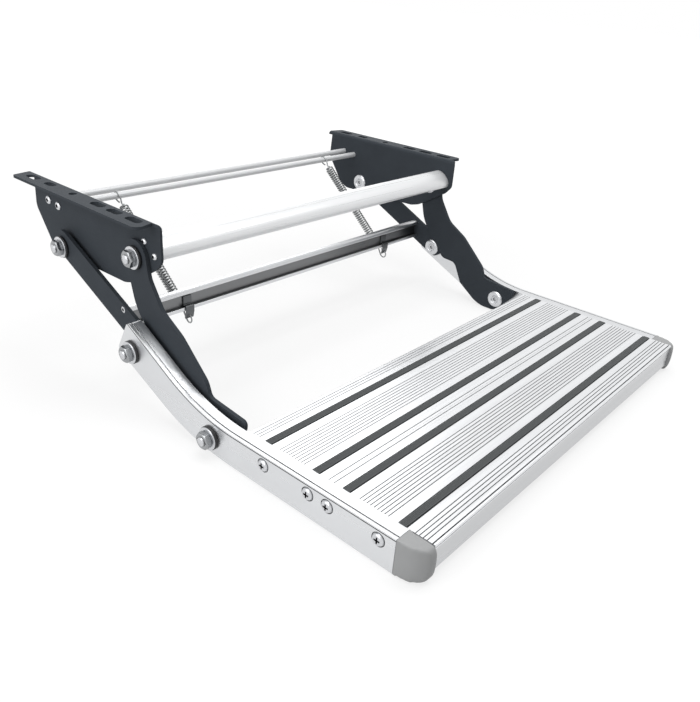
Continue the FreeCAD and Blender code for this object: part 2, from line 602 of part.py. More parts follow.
def chambers(front_y, rear_y, low_z, webs):
    """Return the hollow chambers of a plank between its walls and webs."""
    edges = [front_y + PLANK_WALL] + [y + side * PLANK_WALL / 2 for y in sorted(webs) for side in (-1, 1)]
    edges.append(rear_y - PLANK_WALL)
    top = RAIL_TOP_Z - STRIP_T - PLANK_WALL + STRIP_PROUD
    return [slab([(y0, low_z + PLANK_WALL, 0), (y1, low_z + PLANK_WALL, 0), (y1, top, 0), (y0, top, 0)], -LIP_X, LIP_X)
            for y0, y1 in zip(edges[0::2], edges[1::2])]


def plank(outline, hollows, screws):
    """Return a plank extruded across the step, with a screw port round each of its screws."""
    bores = [bore_x(-LIP_X - 1, LIP_X + 1, TREAD_SCREW_R + PIVOT_CLEARANCE, y, z) for y, z in screws]
    ports = [bore_x(-LIP_X, LIP_X, TREAD_SCREW_R + PORT_WALL, y, z) for y, z in screws]
    return slab(outline, -LIP_X, LIP_X).cut(hollows).fuse(ports).cut(bores).removeSplitter()


def rear_plank():
    """Return the rear plank."""
    screws = tread_screw_places()[:2]
    front_y, low = PLANK_JOINT_Y + PLANK_SEAM / 2, RAIL_TOP_Z - PLANK_DEPTH
    strips = STRIP_CENTRES[:2]
    grooves = groove_field(sum(strips) / 2) + [strips[0] + step for step in REAR_EDGE_GROOVES]
    grooves.append(strips[1] - JOINT_GROOVE_REAR)
    outline = grooved_top(front_y, PLANK_REAR_Y, grooves, strips)
    outline[-1] = (PLANK_REAR_Y, RAIL_TOP_Z, 4.5)
    outline += [(PLANK_REAR_Y, low, 2), (front_y, low, 0)]
    return plank(outline, chambers(front_y, PLANK_REAR_Y, low, [y for y, z in screws]), screws)


def front_plank():
    """Return the front plank, whose deep nose carries close-set grooves."""
    screws = tread_screw_places()[2:]
    rear_y, low = PLANK_JOINT_Y - PLANK_SEAM / 2, RAIL_TOP_Z - PLANK_DEPTH
    strips = STRIP_CENTRES[2:]
    nose_y = PLANK_FRONT_Y + NOSE_DEPTH
    edge = [strips[1] - FRONT_EDGE_GROOVE - GROOVE_PITCH * k for k in range(FRONT_EDGE_GROOVES)]
    grooves = groove_field(sum(strips) / 2) + [strips[0] + JOINT_GROOVE_FRONT] + edge
    outline = grooved_top(PLANK_FRONT_Y, rear_y, grooves, strips)
    deep = v_groove(PLANK_FRONT_Y + NOSE_GROOVE_BACK, NOSE_GROOVE_WIDTH, NOSE_GROOVE_DEPTH)
    outline[:1] = [(PLANK_FRONT_Y, RAIL_TOP_Z, NOSE_R)] + deep
    foot = RAIL_BOTTOM_Z + NOSE_RISE
    outline += [(rear_y, low, 0), (nose_y, low, 2), (nose_y, foot, 2), (PLANK_FRONT_Y, foot, NOSE_R)]
    z = RAIL_TOP_Z - NOSE_GROOVE_DROP
    outline += [(PLANK_FRONT_Y, z - NOSE_GROOVE_WIDTH / 2, 0), (PLANK_FRONT_Y + NOSE_GROOVE_DEPTH, z, 0),
                (PLANK_FRONT_Y, z + NOSE_GROOVE_WIDTH / 2, 0)]
    hollows = chambers(nose_y - PLANK_WALL, rear_y, low, [y for y, z in screws])
    inner_front, inner_rear = PLANK_FRONT_Y + PLANK_WALL, nose_y - PLANK_WALL
    top, bottom = RAIL_TOP_Z - PLANK_WALL - GROOVE_DEPTH, foot + PLANK_WALL
    hollows.append(slab([(inner_front, bottom, 0), (inner_rear, bottom, 0), (inner_rear, top, 0),
                         (inner_front, top, 0)], -LIP_X, LIP_X))
    return plank(outline, hollows, screws)


def grip_strip(y):
    """Return a ribbed grip strip that stands a little proud of its channel."""
    low, top = RAIL_TOP_Z - STRIP_T + STRIP_PROUD, RAIL_TOP_Z + STRIP_PROUD
    half = STRIP_WIDTH / 2 - 0.15
    ribs = 3
    rib_pitch = 2 * (half - 1.2) / ribs
    corners = [(y + half, low, 0), (y - half, low, 0), (y - half, top, 0.6)]
    for rib in range(ribs):
        start = y - half + 1.2 + rib * rib_pitch
        corners += [(start, top, 0), (start + 0.3, top - 0.5, 0), (start + rib_pitch - 0.9, top - 0.5, 0),
                    (start + rib_pitch - 0.6, top, 0)]
    corners.append((y + half, top, 0.6))
    return slab(corners, -LIP_X, LIP_X)


def end_cap():
    """Return the right end cap: a moulded shell with a round outer corner, a crowned front and a plug for the rail."""
    front_y = RAIL_FRONT_Y - CAP_LENGTH - CAP_CROWN
    plan = rounded_face([(LIP_X, RAIL_FRONT_Y, 0), (LIP_X, front_y, 0), (RAIL_X1, front_y, CAP_CORNER_R),
                         (RAIL_X1, RAIL_FRONT_Y, 0)], lambda x, y: Vector(x, y, RAIL_BOTTOM_Z))
    edge_y, middle = front_y + CAP_CROWN, RAIL_BOTTOM_Z + 0.45 * RAIL_HEIGHT
    profile = [(RAIL_FRONT_Y, RAIL_BOTTOM_Z, 0), (edge_y, RAIL_BOTTOM_Z, CAP_FOOT_R), (front_y, middle, 2 * CAP_CORNER_R),
               (edge_y, RAIL_TOP_Z, CAP_SOFT_R), (RAIL_FRONT_Y, RAIL_TOP_Z, 0)]
    body = plan.extrude(Vector(0, 0, RAIL_HEIGHT)).common(slab(profile, LIP_X, RAIL_X1))
    fit = RAIL_WALL + CAP_PLUG_GAP
    plug = Part.makeBox(RAIL_WIDTH - 2 * fit, CAP_PLUG + 1, RAIL_HEIGHT - 2 * fit,
                        Vector(RAIL_X0 + fit, RAIL_FRONT_Y - 1, RAIL_BOTTOM_Z + fit))
    wall = 2 * RAIL_WALL
    hollow = Part.makeBox(RAIL_WIDTH - 2 * wall, CAP_LENGTH + CAP_PLUG, RAIL_HEIGHT - 2 * wall,
                          Vector(RAIL_X0 + wall, RAIL_FRONT_Y - CAP_LENGTH / 2, RAIL_BOTTOM_Z + wall))
    return body.fuse(plug).cut(hollow).removeSplitter()


def both_sides(shape):
    """Return the right shape and its mirror image on the left."""
    return [shape, shape.mirror(Vector(0, 0, 0), Vector(1, 0, 0))]


def save(name, solids):
    """Write one node's solids to its STEP file."""
    flat = [solid for shape in solids for solid in shape.Solids]
    node = flat[0] if len(flat) == 1 else Part.makeCompound(flat)
    node.exportStep("parts/%s.step" % name)


def save_pair(name, shape):
    """Write the right shape and its mirror image as two nodes."""
    right, left = both_sides(shape)
    save(name + "_right", [right])
    save(name + "_left", [left])


def save_pivot(name, bolt, washers_and_nut):
    """Write a pivot's bolt, washers and nut, each node with one solid a side."""
    black, steel, nut = washers_and_nut
    save(name + "_bolts", both_sides(bolt))
    save(name + "_black_washers", both_sides(black))
    save(name + "_steel_washers", both_sides(steel))
    save(name + "_nuts", both_sides(nut))


def build_brackets():
    """Write everything that stays still on the vehicle."""
    save_pair("bracket", bracket())
    save("cross_tube", [cross_tube()])
    save("rear_tie_rod", [tie_rod(REAR_ROD_Y, REAR_ROD_Z)])
    save("front_tie_rod", [tie_rod(FRONT_ROD_Y, FRONT_ROD_Z)])
    tube_screws = [domed_screw(PLATE_OUTER_X, TUBE_HEAD_R, TUBE_SCREW_R, SCREW_LENGTH, y, z)
                   for y, z in tube_screw_places()]
    save("tube_screws", [screw for right in tube_screws for screw in both_sides(right)])
    rod_screws = [domed_screw(PLATE_OUTER_X, ROD_HEAD_R, ROD_SCREW_R, SCREW_LENGTH, y, z)
                  for y, z in [(REAR_ROD_Y, REAR_ROD_Z), (FRONT_ROD_Y, FRONT_ROD_Z)]]
    save("rod_screws", [screw for right in rod_screws for screw in both_sides(right)])
    black, steel, nut, end = outer_stack(REAR_ARM_X1 + RUNNING_GAP, PIVOT_A_Y, PIVOT_A_Z)
    save_pivot("rear_pivot", headed_bolt(PLATE_INNER_X, end, PIVOT_A_Y, PIVOT_A_Z), (black, steel, nut))
    spacer = ring_x(PLATE_OUTER_X, REAR_ARM_X0 - RUNNING_GAP, SPACER_R, PIVOT_R + PIVOT_CLEARANCE, PIVOT_A_Y, PIVOT_A_Z)
    save("rear_pivot_spacers", both_sides(spacer))
    black, steel, nut, end = outer_stack(FRONT_ARM_X1 + RUNNING_GAP, PIVOT_B_Y, PIVOT_B_Z)
    save_pivot("front_pivot", headed_bolt(PLATE_INNER_X, end, PIVOT_B_Y, PIVOT_B_Z), (black, steel, nut))


def build_arms():
    """Write the front arms, and the rear arms with their cross bar, clips and screws."""
    save_pair("front_arm", front_arm())
    save_pair("rear_arm", rear_arm())
    save("cross_bar", [cross_bar()])
    save_pair("spring_clip", spring_clip())
    save("bar_screws", both_sides(sunk_screw(REAR_ARM_X1, BAR_HEAD_R, BAR_SCREW_R, SCREW_LENGTH, *bar_screw_place())))
    save("rear_arm_studs", both_sides(headed_bolt(REAR_ARM_X0, REAR_ARM_X1, PIVOT_D_Y, PIVOT_D_Z)))
    save_pair("spring", spring())


def build_tread():
    """Write the tread: rails, planks, strips, caps and their fasteners."""
    save_pair("side_rail", side_rail())
    save("rear_plank", [rear_plank()])
    save("front_plank", [front_plank()])
    for number, y in enumerate(STRIP_CENTRES, 1):
        save("grip_strip_%d" % number, [grip_strip(y)])
    save_pair("end_cap", end_cap())
    screws = [domed_screw(RAIL_X1, TREAD_HEAD_R, TREAD_SCREW_R, TREAD_SCREW_LENGTH, y, z)
              for y, z in tread_screw_places()]
    save("tread_screws", [screw for right in screws for screw in both_sides(right)])
    bore = PIVOT_R + PIVOT_CLEARANCE
    black, steel, nut, end = outer_stack(RAIL_X1, PIVOT_C_Y, PIVOT_C_Z)
    inner_face = FRONT_ARM_X0 - RUNNING_GAP
    save_pivot("tread_pivot", headed_bolt(inner_face, end, PIVOT_C_Y, PIVOT_C_Z), (black, steel, nut))
    spacer = ring_x(FRONT_ARM_X1 + RUNNING_GAP, RAIL_X0, SPACER_R, bore, PIVOT_C_Y, PIVOT_C_Z)
    save("tread_pivot_spacers", both_sides(spacer))
    black, steel, nut, end = outer_stack(RAIL_X1, PIVOT_D_Y, PIVOT_D_Z)
    save_pivot("rail_pivot", shank_x(RAIL_X0, end, PIVOT_R, PIVOT_D_Y, PIVOT_D_Z), (black, steel, nut))


def main():
    """Build every node of the step."""
    os.makedirs("parts", exist_ok=True)
    build_brackets()
    build_arms()
    build_tread()


if __name__ == "__main__":
    main()
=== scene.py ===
"""Looks of a folding entry step for a caravan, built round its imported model."""

import json
import logging
import math
from collections.abc import Callable, Iterator
from contextlib import contextmanager
from dataclasses import dataclass
from enum import Enum

import bmesh
import bpy
from mathutils import Matrix, Vector

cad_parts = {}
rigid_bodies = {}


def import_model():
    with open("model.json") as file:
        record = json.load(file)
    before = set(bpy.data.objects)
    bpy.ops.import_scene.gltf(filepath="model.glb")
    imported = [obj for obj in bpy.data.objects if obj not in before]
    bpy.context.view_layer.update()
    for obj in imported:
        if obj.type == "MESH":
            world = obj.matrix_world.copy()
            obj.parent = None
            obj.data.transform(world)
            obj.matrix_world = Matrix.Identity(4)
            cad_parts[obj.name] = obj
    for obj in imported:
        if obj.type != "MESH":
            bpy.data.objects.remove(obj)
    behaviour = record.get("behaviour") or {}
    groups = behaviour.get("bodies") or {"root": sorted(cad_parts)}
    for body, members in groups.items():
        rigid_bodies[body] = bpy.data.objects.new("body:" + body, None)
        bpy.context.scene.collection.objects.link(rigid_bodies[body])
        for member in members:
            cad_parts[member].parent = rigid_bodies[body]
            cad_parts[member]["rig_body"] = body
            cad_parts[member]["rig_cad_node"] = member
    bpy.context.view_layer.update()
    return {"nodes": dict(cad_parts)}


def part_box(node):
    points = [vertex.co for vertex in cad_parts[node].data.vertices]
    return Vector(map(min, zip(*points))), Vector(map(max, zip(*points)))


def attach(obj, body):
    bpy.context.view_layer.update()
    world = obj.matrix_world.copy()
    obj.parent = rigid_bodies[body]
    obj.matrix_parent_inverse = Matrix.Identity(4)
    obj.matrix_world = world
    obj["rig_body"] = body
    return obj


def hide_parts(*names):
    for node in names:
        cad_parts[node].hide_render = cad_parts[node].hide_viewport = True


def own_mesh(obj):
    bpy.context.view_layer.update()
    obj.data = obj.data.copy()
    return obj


MM = 0.001
WELD = 0.01 * MM
ALONG_X = (0, math.pi / 2, 0)
SIDES = {-1: "left", 1: "right"}
log = logging.getLogger("entry_step")

Piece = bpy.types.Object
Material = bpy.types.Material
Socket = bpy.types.NodeSocket
Triple = tuple[float, float, float]
Pair = tuple[float, float]
Profile = list[Pair]
Rows = tuple[tuple[float, ...], ...]
Test = Callable[[Vector, Vector], bool]


class Grain(Enum):
    """The way that extrusion lines run along a bare aluminium piece."""

    ACROSS = (1.5, 260.0, 260.0)
    LENGTHWISE = (260.0, 1.5, 40.0)


class Recess(Enum):
    """The driver recess in a screw's head."""

    CROSS = "cross"
    HEXAGON = "hexagon"


class Body(Enum):
    """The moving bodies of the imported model."""

    BRACKETS = "brackets"
    FRONT_ARMS = "front_arms"
    REAR_ARMS = "rear_arms"
    TREAD = "tread"
    SPRINGS = "springs"


def only(*pieces: Piece) -> None:
    """Select these pieces alone and make the first one active."""
    bpy.ops.object.select_all(action="DESELECT")
    for piece in pieces:
        piece.select_set(True)
    bpy.context.view_layer.objects.active = pieces[0]


@contextmanager
def edit(piece: Piece, everything: bool = False) -> Iterator[None]:
    """Open a piece in edit mode, with all or none of it selected."""
    only(piece)
    bpy.ops.object.mode_set(mode="EDIT")
    bpy.ops.mesh.select_mode(type="FACE")
    bpy.ops.mesh.select_all(action="SELECT" if everything else "DESELECT")
    yield
    bpy.ops.object.mode_set(mode="OBJECT")


def pick_faces(piece: Piece, test: Test) -> None:
    """Select the faces of an open piece whose centre and normal pass a test."""
    bpy.ops.mesh.select_mode(type="FACE")
    mesh = bmesh.from_edit_mesh(piece.data)
    for face in mesh.faces:
        face.select_set(test(face.calc_center_median(), face.normal))
    bmesh.update_edit_mesh(piece.data)


def pick_edges(piece: Piece, test: Test) -> None:
    """Select the edges of an open piece whose two ends pass a test."""
    bpy.ops.mesh.select_mode(type="EDGE")
    mesh = bmesh.from_edit_mesh(piece.data)
    for edge in mesh.edges:
        edge.select_set(test(edge.verts[0].co, edge.verts[1].co))
    bmesh.update_edit_mesh(piece.data)


def settle(piece: Piece) -> Piece:
    """Move a piece's place, turn and size into its mesh and return it."""
    only(piece)
    bpy.ops.object.transform_apply(location=True, rotation=True, scale=True)
    return piece


def named(piece: Piece, name: str) -> Piece:
    """Give a piece and its mesh a name and return it."""
    piece.name = piece.data.name = name
    return piece


def face_outwards(piece: Piece) -> None:
    """Point every face of a closed piece outwards."""
    with edit(piece, everything=True):
        bpy.ops.mesh.normals_make_consistent(inside=False)


def modify(piece: Piece, kind: str, **settings: object) -> None:
    """Add a modifier of this kind and with these settings, and apply it."""
    only(piece)
    modifier = piece.modifiers.new(kind.title(), kind)
    for name, value in settings.items():
        setattr(modifier, name, value)
    bpy.ops.object.modifier_apply(modifier=modifier.name)


def soften(piece: Piece, width: float, segments: int = 2, corner: float = 35.0) -> None:
    """Round the sharp edges of a piece.

    Args:
        piece: The mesh to finish.
        width: The width of the rounding in metres.
        segments: How many faces go round it.
        corner: The smallest bend in degrees that counts as an edge.
    """
    modify(piece, "BEVEL", width=width, segments=segments, limit_method="ANGLE",
           angle_limit=math.radians(corner), use_clamp_overlap=True)


def smooth(piece: Piece, degrees: float = 32.0) -> None:
    """Shade a piece smooth across bends below this angle."""
    only(piece)
    bpy.ops.object.shade_smooth_by_angle(angle=math.radians(degrees))


def flatten(piece: Piece) -> None:
    """Shade a piece smooth so that its large flat faces stay flat and only its roundings bend."""
    smooth(piece)
    modify(piece, "WEIGHTED_NORMAL", mode="FACE_AREA", weight=50, keep_sharp=True)


def cut(piece: Piece, cutter: Piece, operation: str = "DIFFERENCE") -> None:
    """Combine a piece with a cutter and remove the cutter."""
    modify(piece, "BOOLEAN", operation=operation, object=cutter, solver="EXACT")
    bpy.data.objects.remove(cutter)


def copy(piece: Piece) -> Piece:
    """Return a copy of a piece with its own mesh."""
    only(piece)
    bpy.ops.object.duplicate(linked=False)
    return bpy.context.object


def join(pieces: list[Piece], name: str) -> Piece:
    """Return the pieces as one object of this name."""
    only(*pieces)
    bpy.ops.object.join()
    return named(bpy.context.object, name)


def begin(primitive: Callable[..., object], **settings: object) -> Piece:
    """Return a new primitive with these settings, settled."""
    bpy.ops.object.select_all(action="DESELECT")
    primitive(**settings)
    return settle(bpy.context.object)


def box(place: Triple, size: Triple, turn: float = 0.0) -> Piece:
    """Return a box with this middle and these sides, turned about the X axis."""
    return begin(bpy.ops.mesh.primitive_cube_add, size=1, location=place, rotation=(turn, 0, 0), scale=size)


def hexagon(x: float, radius: float, length: float) -> Piece:
    """Return a hexagon bar along the X axis, with its middle at X = x."""
    return begin(bpy.ops.mesh.primitive_cylinder_add, vertices=6, radius=radius, depth=length,
                 location=(x, 0, 0), rotation=ALONG_X)


def turned(profile: Profile, sides: int) -> Piece:
    """Return a piece turned about the X axis.

    Args:
        profile: Points (x, radius) in metres, from one flat end to the other.
        sides: How many faces go round.

    Returns:
        A closed mesh made by extruding and scaling a disc.
    """
    x, radius = profile[0]
    piece = begin(bpy.ops.mesh.primitive_circle_add, vertices=sides, radius=radius, fill_type="NGON",
                  location=(x, 0, 0), rotation=ALONG_X)
    with edit(piece, everything=True):
        for next_x, next_radius in profile[1:]:
            bpy.ops.mesh.extrude_region_move(TRANSFORM_OT_translate={"value": (next_x - x, 0, 0)})
            share = next_radius / radius
            bpy.ops.transform.resize(value=(1, share, share), center_override=(next_x, 0, 0))
            x, radius = next_x, next_radius
    face_outwards(piece)
    return piece


def wire(points: list[Vector], radius: float, name: str) -> Piece:
    """Return a round wire that follows a line of points.

    Args:
        points: The line's points in metres.
        radius: Half the wire's thickness.
        name: The piece's name.

    Returns:
        The wire as a closed mesh.
    """
    bpy.ops.object.select_all(action="DESELECT")
    bpy.ops.curve.primitive_nurbs_path_add()
    path = bpy.context.object
    path.data.splines.clear()
    spline = path.data.splines.new("NURBS")
    spline.points.add(len(points) - 1)
    for control, point in zip(spline.points, points):
        control.co = (*point, 1)
    spline.order_u = 4
    spline.use_endpoint_u = True
    spline.resolution_u = 2
    path.data.bevel_depth = radius
    path.data.bevel_resolution = 2
    path.data.use_fill_caps = True
    only(path)
    bpy.ops.object.convert(target="MESH")
    return named(bpy.context.object, name)


def solids(node: str) -> list[tuple[Vector, Vector]]:
    """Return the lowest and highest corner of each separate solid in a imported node."""
    mesh = bmesh.new()
    mesh.from_mesh(bpy.data.objects[node].data)
    bmesh.ops.remove_doubles(mesh, verts=mesh.verts, dist=WELD)
    waiting = set(mesh.verts)
    boxes = []
    while waiting:
        island, edge_of_island = set(), [waiting.pop()]
        while edge_of_island:
            vertex = edge_of_island.pop()
            island.add(vertex)
            for edge in vertex.link_edges:
                other = edge.other_vert(vertex)
                if other in waiting:
                    waiting.discard(other)
                    edge_of_island.append(other)
        corners = [[vertex.co[axis] for vertex in island] for axis in range(3)]
        boxes.append((Vector(map(min, corners)), Vector(map(max, corners))))
    mesh.free()
    return sorted(boxes, key=lambda corners: tuple(round(value, 4) for value in corners[0]))


def tint(shade: Triple, factor: float) -> Triple:
    """Return a colour made lighter or darker by a factor."""
    return tuple(min(1.0, part * factor) for part in shade)


class Graph:
    """A node tree with short calls to add and join nodes."""

    def __init__(self, owner: bpy.types.ID, output: str) -> None:
        """Empty the tree of a material or world and give it an output of this kind."""
        owner.use_nodes = True
        self.owner = owner
        self.tree = owner.node_tree
        self.tree.nodes.clear()
        self.output = self.node(output)

    def node(self, kind: str, sockets: dict[str | int, object] | None = None,
             **settings: object) -> bpy.types.Node:
        """Add a node.

        Args:
            kind: The node's type.
            sockets: What feeds its sockets: another node's socket or a fixed value each.
            settings: Its other settings.

        Returns:
            The node.
        """
        node = self.tree.nodes.new(kind)
        for name, value in settings.items():
            setattr(node, name, value)
        for name, value in (sockets or {}).items():
            if isinstance(value, Socket):
                self.tree.links.new(value, node.inputs[name])
            else:
                node.inputs[name].default_value = value
        return node

    def show(self, shader: Socket) -> None:
        """Give the tree's output this shader."""
        self.tree.links.new(shader, self.output.inputs["Surface"])

    def place(self) -> Socket:
        """Return each point's place in the object's own space."""
        return self.node("ShaderNodeTexCoord").outputs["Object"]

    def stretched(self, scale: Triple) -> Socket:
        """Return the place in the object's own space, scaled along each axis."""
        return self.node("ShaderNodeMapping", {"Vector": self.place(), "Scale": scale}).outputs[0]

    def ranged(self, value: Socket, ends: Pair, become: Pair, **settings: object) -> Socket:
        """Return a value carried from its own two ends to what they become, and held there."""
        sockets = dict(zip(("From Min", "From Max", "To Min", "To Max"), ends + become))
        return self.node("ShaderNodeMapRange", {"Value": value, **sockets}, **settings).outputs["Result"]

    def mixed(self, share: Socket, first: Socket, second: Socket) -> Socket:
        """Return the first shader where the share is 0 and the second where it is 1."""
        return self.node("ShaderNodeMixShader", {0: share, 1: first, 2: second}).outputs[0]

    def maths(self, operation: str, *values: object) -> Socket:
        """Return what an operation makes of these values."""
        return self.node("ShaderNodeMath", dict(enumerate(values)), operation=operation).outputs[0]

    def seen_rays(self) -> Socket:
        """Return a value that is 1 for camera, glossy and transmission rays."""
        path = self.node("ShaderNodeLightPath").outputs
        seen = self.maths("MAXIMUM", path["Is Camera Ray"], path["Is Glossy Ray"])
        return self.maths("MAXIMUM", seen, path["Is Transmission Ray"])


class Skin(Graph):
    """The node tree of a finish, with patterns that drive a principled shader."""

    noise_span = (0.3, 0.7)

    def __init__(self, name: str, **values: float) -> None:
        """Start a material of this name and set its shader's sockets, underscores for spaces."""
        super().__init__(bpy.data.materials.new(name), "ShaderNodeOutputMaterial")
        sockets = {socket.replace("_", " "): value for socket, value in values.items()}
        self.shader = self.node("ShaderNodeBsdfPrincipled", sockets)
        self.show(self.shader.outputs[0])

    def noise(self, scale: float, detail: float, roughness: float = 0.55,
              stretch: Triple = (1, 1, 1)) -> Socket:
        """Return a noise pattern in the object's own space.

        Args:
            scale: Features to the metre, before the stretch.
            detail: How many finer layers it has.
            roughness: How strong the finer layers are.
            stretch: Scale along each axis.

        Returns:
            The pattern.
        """
        return self.node("ShaderNodeTexNoise", {"Vector": self.stretched(stretch), "Scale": scale,
                                                "Detail": detail, "Roughness": roughness}).outputs["Fac"]

    def clouded(self, pattern: Socket, shade: Triple, tints: Pair) -> Socket:
        """Return a shade that a 0 to 1 pattern takes from a darker to a lighter tint."""
        ramp = self.node("ShaderNodeValToRGB", {"Fac": pattern})
        for stop, factor in zip(ramp.color_ramp.elements, tints):
            stop.color = (*tint(shade, factor), 1)
        return ramp.outputs["Color"]

    def over(self, share: Socket, under: Triple, colour: Socket) -> Socket:
        """Return a fixed colour where the share is 0 and another one where it is 1."""
        mix = self.node("ShaderNodeMix", data_type="RGBA")
        fixed, free = [socket for socket in mix.inputs if socket.type == "RGBA"]
        fixed.default_value = (*under, 1)
        self.tree.links.new(colour, free)
        self.tree.links.new(share, mix.inputs["Factor"])
        return next(socket for socket in mix.outputs if socket.type == "RGBA")

    def painted_hollow_shade(self, colour: Socket, hollow_shade: Triple, reach: float, openness: Pair) -> Socket:
        """Darken a colour with painted shade in the piece's own grooves and corners.

        Args:
            colour: The colour before the painted shade.
            hollow_shade: The colour of the painted shade in the deepest places.
            reach: How far in metres a neighbouring surface shades.
            openness: Where the painted shade is full, and from where there is none.

        Returns:
            The blended colour.
        """
        hollow = self.node("ShaderNodeAmbientOcclusion", {"Distance": reach}, samples=6, only_local=True)
        return self.over(self.ranged(hollow.outputs["AO"], openness, (0.0, 1.0)), hollow_shade, colour)

    def outside(self, low: float, high: float) -> Socket:
        """Return 0 between two heights of the object's own space, in metres, and 1 elsewhere."""
        height = self.node("ShaderNodeSeparateXYZ", {0: self.place()}).outputs["Z"]
        within = self.maths("COMPARE", height, (low + high) / 2, (high - low) / 2)
        return self.maths("SUBTRACT", 1.0, within)

    def drive(self, socket: str, value: Socket) -> None:
        """Feed one of the shader's own sockets."""
        self.tree.links.new(value, self.shader.inputs[socket])

    def roughen(self, noise: Socket, ends: Pair) -> None:
        """Let a noise pattern take the roughness from one end to the other."""
        self.drive("Roughness", self.ranged(noise, self.noise_span, ends))

    def bump(self, pattern: Socket, strength: float, height: float) -> None:
        """Raise the surface by a share of a pattern, whose full range is this height in metres."""
        bump = self.node("ShaderNodeBump", {"Height": pattern, "Strength": strength, "Distance": height})
        self.drive("Normal", bump.outputs["Normal"])


@dataclass(frozen=True)
class PowderCoat:
    """Satin dark grey powder coat with a fine orange-peel surface."""

    name: str = "powder_coat"
    shade: Triple = (0.046, 0.053, 0.062)
    tints: Pair = (0.9, 1.12)
    roughness: Pair = (0.42, 0.52)
    shine: float = 0.03
    clouds: float = 35.0
    patches: float = 420.0
    peel: float = 1100.0
    peel_height: float = 0.06 * MM
    relief: float = 0.35

    def make(self) -> Material:
        """Return the coat's material."""
        skin = Skin(self.name, Metallic=0.0, Specular_IOR_Level=self.shine)
        cloud = skin.noise(self.clouds, detail=4.0)
        skin.drive("Base Color", skin.clouded(cloud, self.shade, self.tints))
        skin.roughen(skin.noise(self.patches, detail=2.0), self.roughness)
        skin.bump(skin.noise(self.peel, detail=2.0, roughness=0.4), self.relief, self.peel_height)
        return skin.owner


@dataclass(frozen=True)
class BareAluminium:
    """Extruded aluminium with faint lines along its length and painted shade in its grooves.

    The field painted_shade gives the two heights of a band whose colour is darkened as painted shade,
    and the share of the shade's brightness there.
    """

    name: str
    grain: Grain
    shade: Triple = (0.70, 0.71, 0.725)
    tints: Pair = (0.96, 1.03)
    roughness: Pair = (0.24, 0.40)
    metal: float = 1.0
    relief: float = 0.25
    painted_shade: Triple | None = None
    hollow_shade: Triple = (0.05, 0.053, 0.056)
    hollow_shade_reach: float = 2.0 * MM
    openness: Pair = (0.5, 0.93)
    clouds: float = 22.0
    line_height: float = 0.08 * MM

    def make(self) -> Material:
        """Return the metal's material."""
        skin = Skin(self.name, Metallic=self.metal)
        lines = skin.noise(1.0, detail=5.0, roughness=0.7, stretch=self.grain.value)
        base_colour = skin.clouded(skin.noise(self.clouds, detail=3.0), self.shade, self.tints)
        # Painted shade: the colour is darkened in a band between two heights.
        if self.painted_shade:
            low, high, share = self.painted_shade
            base_colour = skin.over(skin.outside(low, high), tint(self.shade, share), base_colour)
        # Painted shade: ambient occlusion darkens the colour in the piece's grooves and corners.
        skin.drive("Base Color", skin.painted_hollow_shade(base_colour, self.hollow_shade, self.hollow_shade_reach, self.openness))
        skin.roughen(lines, self.roughness)
        skin.bump(lines, self.relief, self.line_height)
        return skin.owner


@dataclass(frozen=True)
class PlatedSteel:
    """Plated steel of the rods, springs and fasteners, with painted shade in hollows where
    hollow_shade_reach is above 0.
    """

    name: str
    shade: Triple
    roughness: Pair = (0.18, 0.34)
    tints: Pair = (0.88, 1.084)
    hollow_shade_reach: float = 3.0 * MM
    relief: float = 0.3
    metal: float = 1.0
    hollow_shade: Triple = (0.02, 0.021, 0.023)
    openness: Pair = (0.4, 0.95)
    clouds: float = 260.0
    grain: float = 900.0
    grain_height: float = 0.04 * MM

    def make(self) -> Material:
        """Return the plating's material."""
        skin = Skin(self.name, Metallic=self.metal)
        cloud = skin.noise(self.clouds, detail=4.0, roughness=0.65)
        base_colour = skin.clouded(cloud, self.shade, self.tints)
        if self.hollow_shade_reach:
            # Painted shade: ambient occlusion darkens the colour in the piece's hollows.
            base_colour = skin.painted_hollow_shade(base_colour, self.hollow_shade, self.hollow_shade_reach, self.openness)
        skin.drive("Base Color", base_colour)
        skin.roughen(cloud, self.roughness)
        skin.bump(skin.noise(self.grain, detail=3.0), self.relief, self.grain_height)
        return skin.owner


@dataclass(frozen=True)
class MouldedPlastic:
    """Moulded plastic or rubber with a fine grained skin."""

    name: str
    shade: Triple
    roughness: Pair
    grain: float = 1500.0
    grain_height: float = 0.08 * MM
    relief: float = 0.45
    tints: Pair = (0.92, 1.08)
    clouds: float = 60.0

    def make(self) -> Material:
        """Return the plastic's material."""
        skin = Skin(self.name, Metallic=0.0)
        cloud = skin.noise(self.clouds, detail=4.0)
        skin.drive("Base Color", skin.clouded(cloud, self.shade, self.tints))
        skin.roughen(cloud, self.roughness)
        skin.bump(skin.noise(self.grain, detail=2.0, roughness=0.5), self.relief, self.grain_height)
        return skin.owner


# Painted shade: the planks' nose front, between these heights, is darkened to 0.70 of the aluminium's shade.
NOSE_PAINTED_SHADE = (-202.0 * MM, -175.3 * MM, 0.70)
